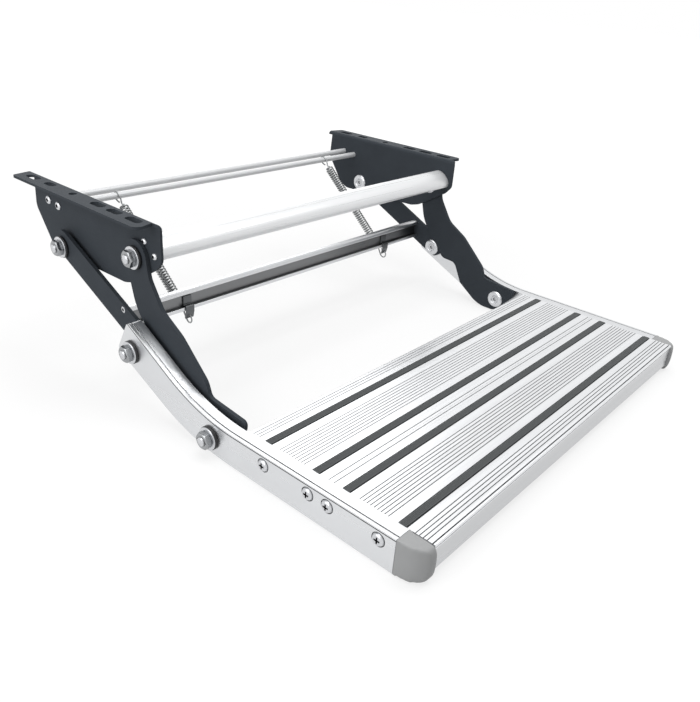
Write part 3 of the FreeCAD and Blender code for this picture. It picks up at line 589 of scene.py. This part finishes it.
# Painted shade: the cross bar's recessed web, between these heights, is darkened to 0.3 of the aluminium's
# shade.
BAR_PAINTED_SHADE = (-130.6 * MM, -115.2 * MM, 0.3)
FINISHES = (
    PowderCoat(),
    BareAluminium("aluminium_across", Grain.ACROSS, (0.78, 0.79, 0.805), painted_shade=NOSE_PAINTED_SHADE),
    BareAluminium("aluminium_lengthwise", Grain.LENGTHWISE),
    BareAluminium("tube_aluminium", Grain.ACROSS, (0.80, 0.81, 0.82), metal=0.35, relief=0.05),
    BareAluminium("bar_aluminium", Grain.ACROSS, relief=0.08, painted_shade=BAR_PAINTED_SHADE),
    PlatedSteel("rod_steel", (0.66, 0.67, 0.68), (0.3, 0.34), (0.98, 1.014), hollow_shade_reach=0.0,
                relief=0.02, metal=0.12),
    PlatedSteel("zinc_steel", (0.62, 0.63, 0.65)),
    PlatedSteel("dull_zinc", (0.34, 0.35, 0.36), (0.22, 0.4)),
    MouldedPlastic("black_nylon", (0.012, 0.012, 0.013), (0.37, 0.47)),
    PlatedSteel("clip_steel", (0.13, 0.135, 0.14), (0.25, 0.4)),
    # Painted shade reaches 6 mm in among the spring's coils.
    PlatedSteel("spring_steel", (0.34, 0.35, 0.355), (0.2, 0.35), hollow_shade_reach=6.0 * MM),
    MouldedPlastic("grip_rubber", (0.056, 0.061, 0.063), (0.57, 0.67), 900.0, 0.15 * MM),
    MouldedPlastic("cap_plastic", (0.345, 0.35, 0.353), (0.5, 0.6)),
)


@dataclass
class Dresser:
    """Hands pieces to their bodies and finishes."""

    nodes: dict[str, Piece]
    finishes: dict[str, Material]

    def coat(self, piece: Piece, finish: str) -> None:
        """Give a piece one finish."""
        piece.data.materials.clear()
        piece.data.materials.append(self.finishes[finish])

    def finish_nodes(self, finish: str, *nodes: str) -> None:
        """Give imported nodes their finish."""
        for node in nodes:
            self.coat(self.nodes[node], finish)
            log.info("node %s finished in %s", node, finish)

    def place(self, piece: Piece, body: Body, finish: str, *stands_for: str) -> None:
        """Finish a new piece and let it ride.

        Args:
            piece: The new piece, in its place.
            body: The body that it moves with.
            finish: The name of its finish.
            stands_for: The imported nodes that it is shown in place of.
        """
        self.coat(piece, finish)
        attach(piece, body.value)
        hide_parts(*stands_for)
        log.info("piece %s rides on %s", piece.name, body.value)

    def soft_edged(self, node: str, width: float, segments: int = 2) -> Piece:
        """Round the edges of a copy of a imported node.

        Args:
            node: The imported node.
            width: The width of the rounding in metres.
            segments: How many faces go round an edge.

        Returns:
            The copy.
        """
        piece = named(copy(self.nodes[node]), node + "_soft")
        piece.parent = None
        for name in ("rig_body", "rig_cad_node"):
            if name in piece:
                del piece[name]
        with edit(piece, everything=True):
            bpy.ops.mesh.remove_doubles(threshold=WELD)
            bpy.ops.mesh.dissolve_limited(angle_limit=math.radians(0.6))
        soften(piece, width, segments)
        flatten(piece)
        return piece

    def round_off(self, node: str, width: float, body: Body, finish: str, segments: int = 2) -> None:
        """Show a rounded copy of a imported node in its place."""
        self.place(self.soft_edged(node, width, segments), body, finish, node)


@dataclass
class FastenerKit:
    """Nuts, washers, bolts and screws, each modelled once and copied to its places.

    A bolt head's profile gives depths in mm and shares of the head's radius, and a screw head's
    profile gives shares of its height and radius. A recess's size gives shares of the head's radius
    and height. A row of screws gives the node, body, radius, height and recess.
    """

    dresser: Dresser
    pivot_r: float = 5.0 * MM
    play: float = 0.1 * MM
    nut_width: float = 17.0 * MM
    nut_height: float = 6.5 * MM
    nut_turn: float = 1.2 * MM
    nut_face: float = 0.95
    corner_play: float = 0.2 * MM
    nut_edge: float = 0.2 * MM
    bolt_head_r: float = 12.5 * MM
    bolt_head: Rows = (
        (2.0, 0.40), (0.3, 0.52), (0.0, 0.58), (0.1, 0.72), (0.6, 0.86), (1.4, 0.96), (2.2, 1.0), (3.0, 1.0))
    bolt_socket: Triple = (2.0 * MM, 3.0 * MM, 2.8 * MM)
    thread_pitch: float = 1.25 * MM
    thread_depth: float = 0.55 * MM
    thread_length: float = 8.5 * MM
    screw_head: Rows = (
        (0.0, 1.0), (0.25, 1.0), (0.55, 0.93), (0.8, 0.78), (0.95, 0.58), (1.0, 0.4))
    screw_shank: Pair = (4.0 * MM, 0.45)
    cross_size: Pair = (0.66, 0.8)
    cross_arm: float = 0.56
    cross_taper: Triple = (1, 0.6, 0.7)
    socket_size: Pair = (0.5, 0.7)
    socket_least: float = 1.2 * MM
    screws: tuple[tuple[str, Body, float, float, Recess], ...] = (
        ("tube_screws", Body.BRACKETS, 3.9 * MM, 2.4 * MM, Recess.HEXAGON),
        ("rod_screws", Body.BRACKETS, 5.0 * MM, 2.4 * MM, Recess.HEXAGON),
        ("tread_screws", Body.TREAD, 6.2 * MM, 2.4 * MM, Recess.CROSS),
        ("bar_screws", Body.REAR_ARMS, 4.0 * MM, 0.6 * MM, Recess.HEXAGON))

    def bore(self, piece: Piece, depth: float) -> None:
        """Cut the pivot bolt's hole along X through a piece that starts at X = 0."""
        radius = self.pivot_r + self.play
        cut(piece, turned([(-MM, radius), (depth + MM, radius)], sides=40))

    def washer(self, height: float, radius: float, edge: float) -> Piece:
        """Return a washer with rounded rims and a bore for the pivot bolt."""
        piece = turned([(0, radius), (height, radius)], sides=56)
        self.bore(piece, height)
        soften(piece, edge, segments=3, corner=50)
        return piece

    def nut(self) -> Piece:
        """Return a hexagon nut with turned corners and a bore for the pivot bolt."""
        corner_r, flat_r = self.nut_width / math.sqrt(3), self.nut_face * self.nut_width / 2
        piece = hexagon(self.nut_height / 2, corner_r, self.nut_height)
        full_r = corner_r + self.corner_play
        profile = [(0, flat_r), (self.nut_turn, full_r), (self.nut_height - self.nut_turn, full_r),
                   (self.nut_height, flat_r)]
        cut(piece, turned(profile, sides=60), "INTERSECT")
        self.bore(piece, self.nut_height)
        soften(piece, self.nut_edge, corner=25)
        return piece

    def threads(self, end: float) -> Profile:
        """Return the profile of a thread with this outer end, as ridges round the bolt."""
        valley, points, x = self.pivot_r - self.thread_depth, [], end - self.thread_length
        while x + self.thread_pitch < end - 0.4 * MM:
            points += [(x, valley), (x + self.thread_pitch / 2, self.pivot_r)]
            x += self.thread_pitch
        return points + [(x, valley), (x + 0.1 * MM, self.pivot_r - 0.1 * MM),
                         (end - 0.5 * MM, self.pivot_r - 0.15 * MM), (end, self.pivot_r - 0.9 * MM)]

    def headed_bolt(self, length: float) -> Piece:
        """Return a bolt whose round domed head starts at X = 0, with thread if it is long enough."""
        profile = [(depth * MM, share * self.bolt_head_r) for depth, share in self.bolt_head]
        seat, neck = profile[-1][0], length - self.thread_length - 0.5 * MM
        profile += [(seat, self.pivot_r), (max(seat + MM, neck), self.pivot_r)]
        profile += self.threads(length) if length > seat + 12 * MM else [(length, self.pivot_r)]
        piece = turned(profile, sides=48)
        cut(piece, hexagon(*self.bolt_socket))
        return piece

    def threaded_end(self, length: float) -> Piece:
        """Return a shank that starts at X = 0 and whose thread ends at this length."""
        neck = length - self.thread_length - 0.5 * MM
        return turned([(0, self.pivot_r), (neck, self.pivot_r)] + self.threads(length), sides=48)

    def cross_recess(self, piece: Piece, x: float, reach: float, depth: float) -> None:
        """Sink a tapered cross of this length and depth at X = x into a piece."""
        for turn in (0.0, math.pi / 2):
            cutter = box((x, 0, 0), (2 * depth, 2 * reach, self.cross_arm * reach), turn)
            with edit(cutter):
                pick_faces(cutter, lambda centre, normal: normal.x < -0.5)
                bpy.ops.transform.resize(value=self.cross_taper, center_override=(x - depth, 0, 0))
            cut(piece, cutter)

    def screw(self, radius: float, height: float, recess: Recess) -> Piece:
        """Return a screw whose domed head stands on X = 0, with a short shank behind it."""
        length, slim = self.screw_shank
        head = [(rise * height, share * radius) for rise, share in self.screw_head]
        piece = turned([(-length, slim * radius), (0, slim * radius)] + head, sides=36)
        if recess is Recess.CROSS:
            reach, depth = self.cross_size
            self.cross_recess(piece, height, reach * radius, depth * height)
        else:
            reach, depth = self.socket_size
            depth = max(self.socket_least, depth * height)
            cut(piece, hexagon(height, reach * radius, 2 * depth))
        return piece

    def dress(self, model: Piece, node: str, name: str, body: Body, finish: str = "zinc_steel",
              by_head: bool = False) -> None:
        """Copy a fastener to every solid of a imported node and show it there.

        Args:
            model: The fastener, facing +X, with X = 0 on its seat or inner end.
            node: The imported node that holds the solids.
            name: The name of the joined copies.
            body: The body that they move with.
            finish: The name of their finish.
            by_head: Whether its outer end goes to the solid's, and else X = 0 to the inner end.
        """
        height = max(vertex.co.x for vertex in model.data.vertices)
        copies = []
        for low, high in solids(node):
            side = 1 if low.x + high.x > 0 else -1
            inner, outer = sorted((abs(low.x), abs(high.x)))
            start = outer - height if by_head else inner
            piece = copy(model)
            piece.location = (side * start, (low.y + high.y) / 2, (low.z + high.z) / 2)
            piece.scale = (side, 1, 1)
            copies.append(settle(piece))
        bpy.data.objects.remove(model)
        joined = join(copies, name)
        face_outwards(joined)
        smooth(joined, degrees=40)
        self.dresser.place(joined, body, finish, node)

    def dress_pivot(self, prefix: str, body: Body) -> None:
        """Model the washers and nuts of the pivot whose nodes start with this prefix."""
        for kind, name, edge, finish in (("_black_washers", "_thick_washers", 0.7 * MM, "black_nylon"),
                                         ("_steel_washers", "_face_washers", 0.4 * MM, "zinc_steel")):
            low, high = solids(prefix + kind)[0]
            washer = self.washer(high.x - low.x, (high.y - low.y) / 2, edge)
            self.dress(washer, prefix + kind, prefix + name, body, finish)
        self.dress(self.nut(), prefix + "_nuts", prefix + "_hexagon_nuts", body, "dull_zinc")

    def dress_bolts(self, node: str, body: Body, headed: bool = True) -> None:
        """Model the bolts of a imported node, with or without a head at their inner ends."""
        low, high = solids(node)[0]
        length = high.x - low.x
        model = self.headed_bolt(length) if headed else self.threaded_end(length)
        self.dress(model, node, node + "_threaded", body)

    def build(self) -> None:
        """Model every fastener of the step."""
        for prefix, body in (("rear_pivot", Body.BRACKETS), ("front_pivot", Body.BRACKETS),
                             ("tread_pivot", Body.TREAD), ("rail_pivot", Body.TREAD)):
            self.dress_pivot(prefix, body)
        self.dress_bolts("rear_pivot_bolts", Body.BRACKETS)
        self.dress_bolts("front_pivot_bolts", Body.BRACKETS)
        self.dress_bolts("tread_pivot_bolts", Body.TREAD)
        self.dress_bolts("rail_pivot_bolts", Body.TREAD, headed=False)
        self.dress_bolts("rear_arm_studs", Body.REAR_ARMS)
        for node, body, radius, height, recess in self.screws:
            self.dress(self.screw(radius, height, recess), node, node + "_driven", body, by_head=True)
        self.dresser.finish_nodes("black_nylon", "rear_pivot_spacers", "tread_pivot_spacers")


@dataclass
class BracketPair:
    """The two angle brackets with the tube and rods between them."""

    dresser: Dresser
    edge: float = 0.5 * MM
    tube_edge: float = 0.3 * MM
    tube_bend: float = 50.0

    def build(self) -> None:
        """Round the brackets' and the tube's edges and finish the rods."""
        for word in SIDES.values():
            self.dresser.round_off("bracket_" + word, self.edge, Body.BRACKETS, "powder_coat")
        tube = self.dresser.soft_edged("cross_tube", self.tube_edge)
        smooth(tube, self.tube_bend)
        self.dresser.place(tube, Body.BRACKETS, "tube_aluminium", "cross_tube")
        self.dresser.finish_nodes("rod_steel", "rear_tie_rod", "front_tie_rod")


@dataclass
class ArmLinkage:
    """The front and rear arms with the cross bar and its spring clips."""

    dresser: Dresser
    edge: float = 0.5 * MM
    clip_edge: float = 0.6 * MM
    bar_edge: float = 0.3 * MM

    def build(self) -> None:
        """Round the edges of the arms, the clips and the bar."""
        for word in SIDES.values():
            self.dresser.round_off("front_arm_" + word, self.edge, Body.FRONT_ARMS, "powder_coat")
            self.dresser.round_off("rear_arm_" + word, self.edge, Body.REAR_ARMS, "powder_coat")
            self.dresser.round_off("spring_clip_" + word, self.clip_edge, Body.REAR_ARMS, "clip_steel", 3)
        self.dresser.round_off("cross_bar", self.bar_edge, Body.REAR_ARMS, "bar_aluminium")


@dataclass
class TensionSpring:
    """An over-centre spring wound from one length of wire, with a hook loop at each end.

    The wire leaves a hook at leave and joins the spring's axis at arrive, and the last coil joins it
    at settled, all as multiples of the hook's radius. The coils grow from the share neck of their
    full radius.
    """

    dresser: Dresser
    side: int
    x: float = 187.0 * MM
    start: Pair = (54.1 * MM, -28.3 * MM)
    end: Pair = (-83.03 * MM, -147.0 * MM)
    wire_r: float = 1.0 * MM
    coil_r: float = 5.6 * MM
    hook_r: float = 5.3 * MM
    hook_stretch: float = 1.75
    hook_shift: float = 0.3 * MM
    hook_reach: int = 150
    hook_step: int = 25
    leave: float = 1.85
    arrive: float = 2.35
    settled: float = 3.0
    body_start: float = 14.5 * MM
    body_end: float = 148.0 * MM
    turns: int = 37
    coil_steps: int = 12
    neck: float = 0.35
    keep: float = 0.736

    def hook(self) -> list[Vector]:
        """Return the points of the first hook, an open loop that is longer on the coils' side."""
        angles = range(-self.hook_reach, self.hook_reach + 1, self.hook_step)
        points = []
        for index, angle in enumerate(map(math.radians, angles)):
            z = -self.hook_r * math.cos(angle)
            points.append(Vector((self.hook_shift * index / len(angles), self.hook_r * math.sin(angle),
                                  z * self.hook_stretch if z > 0 else z)))
        return points

    def coils(self) -> list[Vector]:
        """Return the points of the wound body."""
        points, total = [], self.turns * self.coil_steps
        for index in range(total + 1):
            angle = 2 * math.pi * index / self.coil_steps
            grow = min(1.0, index / self.coil_steps, (total - index) / self.coil_steps)
            radius = self.coil_r * (self.neck + (1 - self.neck) * grow)
            height = self.body_start + (self.body_end - self.body_start) * index / total
            points.append(Vector((radius * math.sin(angle), radius * math.cos(angle), height)))
        return points

    def wire_line(self) -> list[Vector]:
        """Return the points that the wire follows, along Z from the first hook's middle."""
        length = (Vector(self.end) - Vector(self.start)).length
        near = self.hook() + [Vector((0, 0.5 * self.hook_r, self.hook_r * self.leave)),
                              Vector((0, 0, self.hook_r * self.arrive))]
        joint = Vector((0, 0, self.hook_r * self.settled))
        far = [Vector((point.x, -point.y, length - point.z)) for point in (joint, *reversed(near))]
        return near + self.coils() + far

    def build(self) -> None:
        """Wind the wire, lay it along the spring's line and let it ride."""
        word = SIDES[self.side]
        piece = wire(self.wire_line(), self.wire_r, "spring_coil_" + word)
        start, end = Vector((0, *self.start)), Vector((0, *self.end))
        axis = (end - start).normalized()
        across = axis.cross(Vector((1, 0, 0)))
        turn = Matrix((Vector((1, 0, 0)), across, axis)).transposed().to_4x4()
        piece.matrix_world = Matrix.Translation(start + Vector((self.side * self.x, 0, 0))) @ turn
        settle(piece)
        smooth(piece, degrees=60)
        self.dresser.place(piece, Body.SPRINGS, "spring_steel", "spring_" + word)
        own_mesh(piece)


@dataclass
class EndCap:
    """A moulded end cap that rounds off from the rail's square end to a crowned front.

    A station gives its distance from the seam in mm, its width as a share, and how far its foot
    rises and its top drops, in mm. A crease gives two distances from the seam and how sharp the
    cap's outer top and foot edges stay between them.
    """

    dresser: Dresser
    side: int
    stations: Rows = (
        (3.0, 1.0, 0.0, 0.0), (10.0, 1.0, 0.02, 0.01), (19.5, 0.91, 0.05, 0.04), (26.5, 0.62, 1.4, 1.0),
        (31.0, 0.37, 7.0, 5.5))
    creases: Rows = (
        (3.0, 10.0, 0.55, 0.62), (10.0, 19.5, 0.50, 0.52), (19.5, 31.0, 0.42, 0.40))
    inner_crease: float = 0.8
    gap: float = 0.35 * MM
    front_play: float = 0.05 * MM

    def build(self) -> None:
        """Draw the cap out from the rail's end, crease it there and round the rest."""
        word = SIDES[self.side]
        node = "end_cap_" + word
        low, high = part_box(node)
        rail_low, rail_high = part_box("side_rail_" + word)
        inner, outer = (rail_low.x, rail_high.x) if self.side > 0 else (rail_high.x, rail_low.x)
        seam, middle, step = rail_low.y - self.gap, (low.z + high.z) / 2, self.stations[0][0] * MM
        piece = named(box(((inner + outer) / 2, seam - step / 2, middle),
                          (abs(outer - inner), step, high.z - low.z)), node + "_moulded")
        with edit(piece):
            pick_faces(piece, lambda centre, normal: normal.y < -0.9)
            for (near, wide, rise, drop), (far, next_wide, next_rise, next_drop) in zip(
                    self.stations, self.stations[1:]):
                bpy.ops.mesh.extrude_region_move(TRANSFORM_OT_translate={"value": (0, (near - far) * MM, 0)})
                foot, top = low.z + rise * MM, high.z - drop * MM
                next_foot, next_top = low.z + next_rise * MM, high.z - next_drop * MM
                share = (next_top - next_foot) / (top - foot)
                fixed = (next_top - share * top) / (1 - share)
                bpy.ops.transform.resize(value=(next_wide / wide, 1, share),
                                         center_override=(inner, seam, fixed))
        self.crease(piece, 1.0, lambda a, b: min(a.y, b.y) > seam - step - WELD)
        self.crease(piece, self.inner_crease, lambda a, b: (
            abs(a.x - inner) + abs(b.x - inner) < WELD and max(a.y, b.y) < seam - 0.1 * MM))
        for first, last, *sharpness in self.creases:
            near, far = seam - first * MM + WELD, seam - last * MM - WELD
            for value, above in zip(sharpness, (True, False)):
                self.crease(piece, value, lambda a, b: (
                    min(abs(a.x - inner), abs(b.x - inner)) > MM and abs(a.y - b.y) > MM
                    and far < min(a.y, b.y) and max(a.y, b.y) < near and (a.z > middle) == above))
        modify(piece, "SUBSURF", levels=4, render_levels=4)
        reach = seam - min(vertex.co.y for vertex in piece.data.vertices)
        with edit(piece, everything=True):
            bpy.ops.transform.resize(value=(1, (seam - low.y - self.front_play) / reach, 1),
                                     center_override=(0, seam, 0))
        face_outwards(piece)
        smooth(piece, degrees=50)
        self.dresser.place(piece, Body.TREAD, "cap_plastic", node)

    @staticmethod
    def crease(piece: Piece, sharpness: float, test: Test) -> None:
        """Crease the edges that a test picks from their two ends."""
        with edit(piece):
            pick_edges(piece, test)
            bpy.ops.transform.edge_crease(value=sharpness)


@dataclass
class Tread:
    """The rails, planks, strips and end caps.

    The rail's top line starts level at its front, bends up from bend_start through bend degrees,
    and ends at the corner rear.
    """

    dresser: Dresser
    rail_edge: float = 0.4 * MM
    sink: float = 0.35 * MM
    line_depth: float = 2.1 * MM
    line_r: float = 0.65 * MM
    bead_place: float = 4.1 * MM
    bead_depth: float = 0.2 * MM
    bead_r: float = 0.85 * MM
    ring_r: float = 6.9 * MM
    ring_wire_r: float = 0.6 * MM
    rear: Pair = (-113.6 * MM, -109.4 * MM)
    bend_r: float = 220.0 * MM
    bend: float = 27.5
    bend_start: float = -284.5 * MM
    bend_parts: int = 14
    straight_parts: int = 4
    overrun: float = 4.0 * MM
    strip_gap: float = 1.2 * MM
    strip_edge: float = 0.35 * MM
    rib_places: tuple[float, ...] = (-2.1 * MM, -0.7 * MM, 0.7 * MM, 2.1 * MM)
    rib_cut: float = 0.45 * MM

    def edge_line(self, x: float, top: float, front: float, depth: float) -> list[Vector]:
        """Draw a line that follows a rail's top edge.

        Args:
            x: The line's place across the rail.
            top: The height of the rail's level part.
            front: Its front end.
            depth: How far below the top edge the line runs.

        Returns:
            The line's points, from beyond the front to beyond the rear.
        """
        turn, parts = math.radians(self.bend), self.straight_parts
        along = Vector((0, math.cos(turn), math.sin(turn)))
        down = Vector((0, math.sin(turn), -math.cos(turn)))
        radius = self.bend_r + depth
        angles = [turn * part / self.bend_parts for part in range(self.bend_parts + 1)]
        arc = [Vector((x, self.bend_start + radius * math.sin(angle),
                       top + self.bend_r - radius * math.cos(angle))) for angle in angles]
        corner = Vector((x, *self.rear)) + down * depth
        level = [Vector((x, front + (self.bend_start - front) * part / parts, top - depth))
                 for part in range(parts)]
        climb = [arc[-1] + (corner - arc[-1]) * part / parts for part in range(1, parts + 1)]
        return ([level[0] - Vector((0, self.overrun, 0))] + level + arc + climb
                + [corner + along * self.overrun])

    def rail(self, side: int, node: str) -> Piece:
        """Return a side's rail with its edge lines and a turned ring round each of its screws."""
        piece = self.dresser.soft_edged(node, self.rail_edge)
        low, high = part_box(node)
        outer = high.x if side > 0 else low.x
        top = max(vertex.co.z for vertex in piece.data.vertices if vertex.co.y < low.y + 2 * MM)
        floor = outer - side * self.sink
        side_line = self.edge_line(floor, top, low.y, self.line_depth)
        top_line = self.edge_line(outer - side * self.bead_place, top, low.y, self.bead_depth)
        cut(piece, wire(side_line, self.line_r, "side_line"))
        cut(piece, wire(top_line, self.bead_r, "top_line"))
        for screw_low, screw_high in solids("tread_screws"):
            if (screw_low.x > 0) == (side > 0):
                _, y, z = (screw_low + screw_high) / 2
                cut(piece, begin(bpy.ops.mesh.primitive_torus_add, location=(floor, y, z),
                                 rotation=ALONG_X, major_radius=self.ring_r,
                                 minor_radius=self.ring_wire_r, major_segments=40, minor_segments=8))
        flatten(piece)
        return piece

    def strips(self) -> None:
        """Model one ribbed strip, a little narrower than its channel, and copy it to the four channels."""
        low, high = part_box("grip_strip_1")
        length = high.x - low.x
        model = box((0, 0, (low.z + high.z) / 2),
                    (length, high.y - low.y - 2 * self.strip_gap, high.z - low.z))
        soften(model, self.strip_edge)
        for place in self.rib_places:
            groove = box((0, place, high.z), (length + 2 * MM, self.rib_cut, self.rib_cut), math.pi / 4)
            cut(model, groove)
        smooth(model)
        for number in range(1, 5):
            node = "grip_strip_%d" % number
            low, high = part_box(node)
            strip = named(copy(model), node + "_ribbed")
            strip.location = (0, (low.y + high.y) / 2, 0)
            self.dresser.place(settle(strip), Body.TREAD, "grip_rubber", node)
        bpy.data.objects.remove(model)

    def build(self) -> None:
        """Shape the rails, caps and strips and finish the planks."""
        for side in (1, -1):
            node = "side_rail_" + SIDES[side]
            self.dresser.place(self.rail(side, node), Body.TREAD, "aluminium_lengthwise", node)
            EndCap(self.dresser, side).build()
        self.dresser.finish_nodes("aluminium_across", "rear_plank", "front_plank")
        self.strips()


@dataclass(frozen=True)
class Lamp:
    """A soft square lamp: where it hangs, what it points at, its side in metres and its watts."""

    name: str
    place: Triple
    aim: Triple
    size: float
    energy: float

    def hang(self) -> None:
        """Hang the lamp and point it."""
        data = bpy.data.lights.new(self.name, "AREA")
        data.size = self.size
        data.energy = self.energy
        lamp = bpy.data.objects.new(self.name, data)
        bpy.context.scene.collection.objects.link(lamp)
        lamp.location = self.place
        aim = Vector(self.aim) - Vector(self.place)
        lamp.rotation_euler = aim.to_track_quat("-Z", "Y").to_euler()


@dataclass(frozen=True)
class Camera:
    """The camera, placed and turned as the photograph's. Its shift is in pixels."""

    lens: float = 36.834
    sensor: float = 36.0
    picture_side: float = 702.0
    shift: Pair = (-3.0, 6.4)
    near_limit: float = 0.01
    place: Triple = (-0.6699, -0.7327, 0.2300)
    right: Triple = (0.65620, -0.75108, 0.07271)
    up: Triple = (0.30866, 0.35510, 0.88240)
    back: Triple = (-0.68857, -0.55659, 0.46485)

    def set_up(self) -> None:
        """Put the camera in the scene."""
        data = bpy.data.cameras.new("camera")
        data.lens = self.lens
        data.sensor_width = self.sensor
        data.shift_x, data.shift_y = (pixels / self.picture_side for pixels in self.shift)
        data.clip_start = self.near_limit
        camera = bpy.data.objects.new("camera", data)
        bpy.context.scene.collection.objects.link(camera)
        turn = Matrix((self.right, self.up, self.back)).transposed().to_4x4()
        camera.matrix_world = Matrix.Translation(self.place) @ turn
        bpy.context.scene.camera = camera


@dataclass
class Studio:
    """The floor, sky, lamps and camera."""

    floor_z: float = -209.0 * MM
    floor_side: float = 24.0
    floor_colour: float = 0.60
    floor_share: float = 0.26
    floor_glow: float = 0.71
    lit_radius: float = 2.6
    sky: float = 0.35
    lamps: tuple[Lamp, ...] = (
        Lamp("key_lamp", (1.0, -0.9, 1.9), (0.0, -0.1, -0.1), 1.0, 9.0),
        Lamp("back_lamp", (1.2, 1.6, 1.3), (0.0, -0.2, -0.1), 1.8, 10.5),
        Lamp("fill_lamp", (-1.6, 0.0, 0.6), (0.0, -0.1, -0.1), 1.4, 14.0),
        Lamp("top_lamp", (0.0, -0.3, 1.6), (0.0, -0.3, -0.1), 1.2, 15.0))

    def floor(self) -> None:
        """Lay a pale floor that shows white to the camera and keeps the shadow."""
        plane = named(begin(bpy.ops.mesh.primitive_plane_add, size=self.floor_side,
                            location=(0, 0, self.floor_z)), "studio_floor")
        graph = Graph(bpy.data.materials.new("pale_floor"), "ShaderNodeOutputMaterial")
        glow = graph.node("ShaderNodeEmission", {"Strength": self.glow_level(graph)})
        matt, shown = [graph.node("ShaderNodeBsdfDiffuse", {"Color": (grey, grey, grey, 1)}).outputs[0]
                       for grey in (self.floor_colour, self.floor_share)]
        added = graph.node("ShaderNodeAddShader", {0: shown, 1: glow.outputs[0]})
        graph.show(graph.mixed(graph.seen_rays(), matt, added.outputs[0]))
        plane.data.materials.append(graph.owner)

    def glow_level(self, graph: Graph) -> Socket:
        """Return the floor's own light, which rises to white where the lamps no longer reach."""
        reach = graph.stretched((1 / self.lit_radius,) * 3)
        near = graph.node("ShaderNodeTexGradient", {"Vector": reach}, gradient_type="SPHERICAL")
        return graph.ranged(near.outputs["Fac"], (0.0, 1.0), (1.0, self.floor_glow),
                            interpolation_type="SMOOTHSTEP")

    def world(self) -> None:
        """Light the object softly and show white behind it."""
        world = bpy.data.worlds.new("studio_sky")
        bpy.context.scene.world = world
        graph = Graph(world, "ShaderNodeOutputWorld")
        skies = [graph.node("ShaderNodeBackground", {"Color": (1, 1, 1, 1), "Strength": strength}).outputs[0]
                 for strength in (self.sky, 1.0)]
        graph.show(graph.mixed(graph.seen_rays(), *skies))

    def build(self) -> None:
        """Set up the whole studio."""
        bpy.context.scene.view_settings.view_transform = "Standard"
        self.floor()
        self.world()
        for lamp in self.lamps:
            lamp.hang()
        Camera().set_up()
        log.info("studio ready")


def main() -> None:
    """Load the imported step, dress it and set up the studio."""
    logging.basicConfig(level=logging.INFO, format="%(name)s: %(message)s")
    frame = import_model()
    Studio().build()
    dresser = Dresser(frame["nodes"], {finish.name: finish.make() for finish in FINISHES})
    BracketPair(dresser).build()
    ArmLinkage(dresser).build()
    for side in SIDES:
        TensionSpring(dresser, side).build()
    Tread(dresser).build()
    FastenerKit(dresser).build()
    log.info("step dressed")


if __name__ == "__main__":
    main()
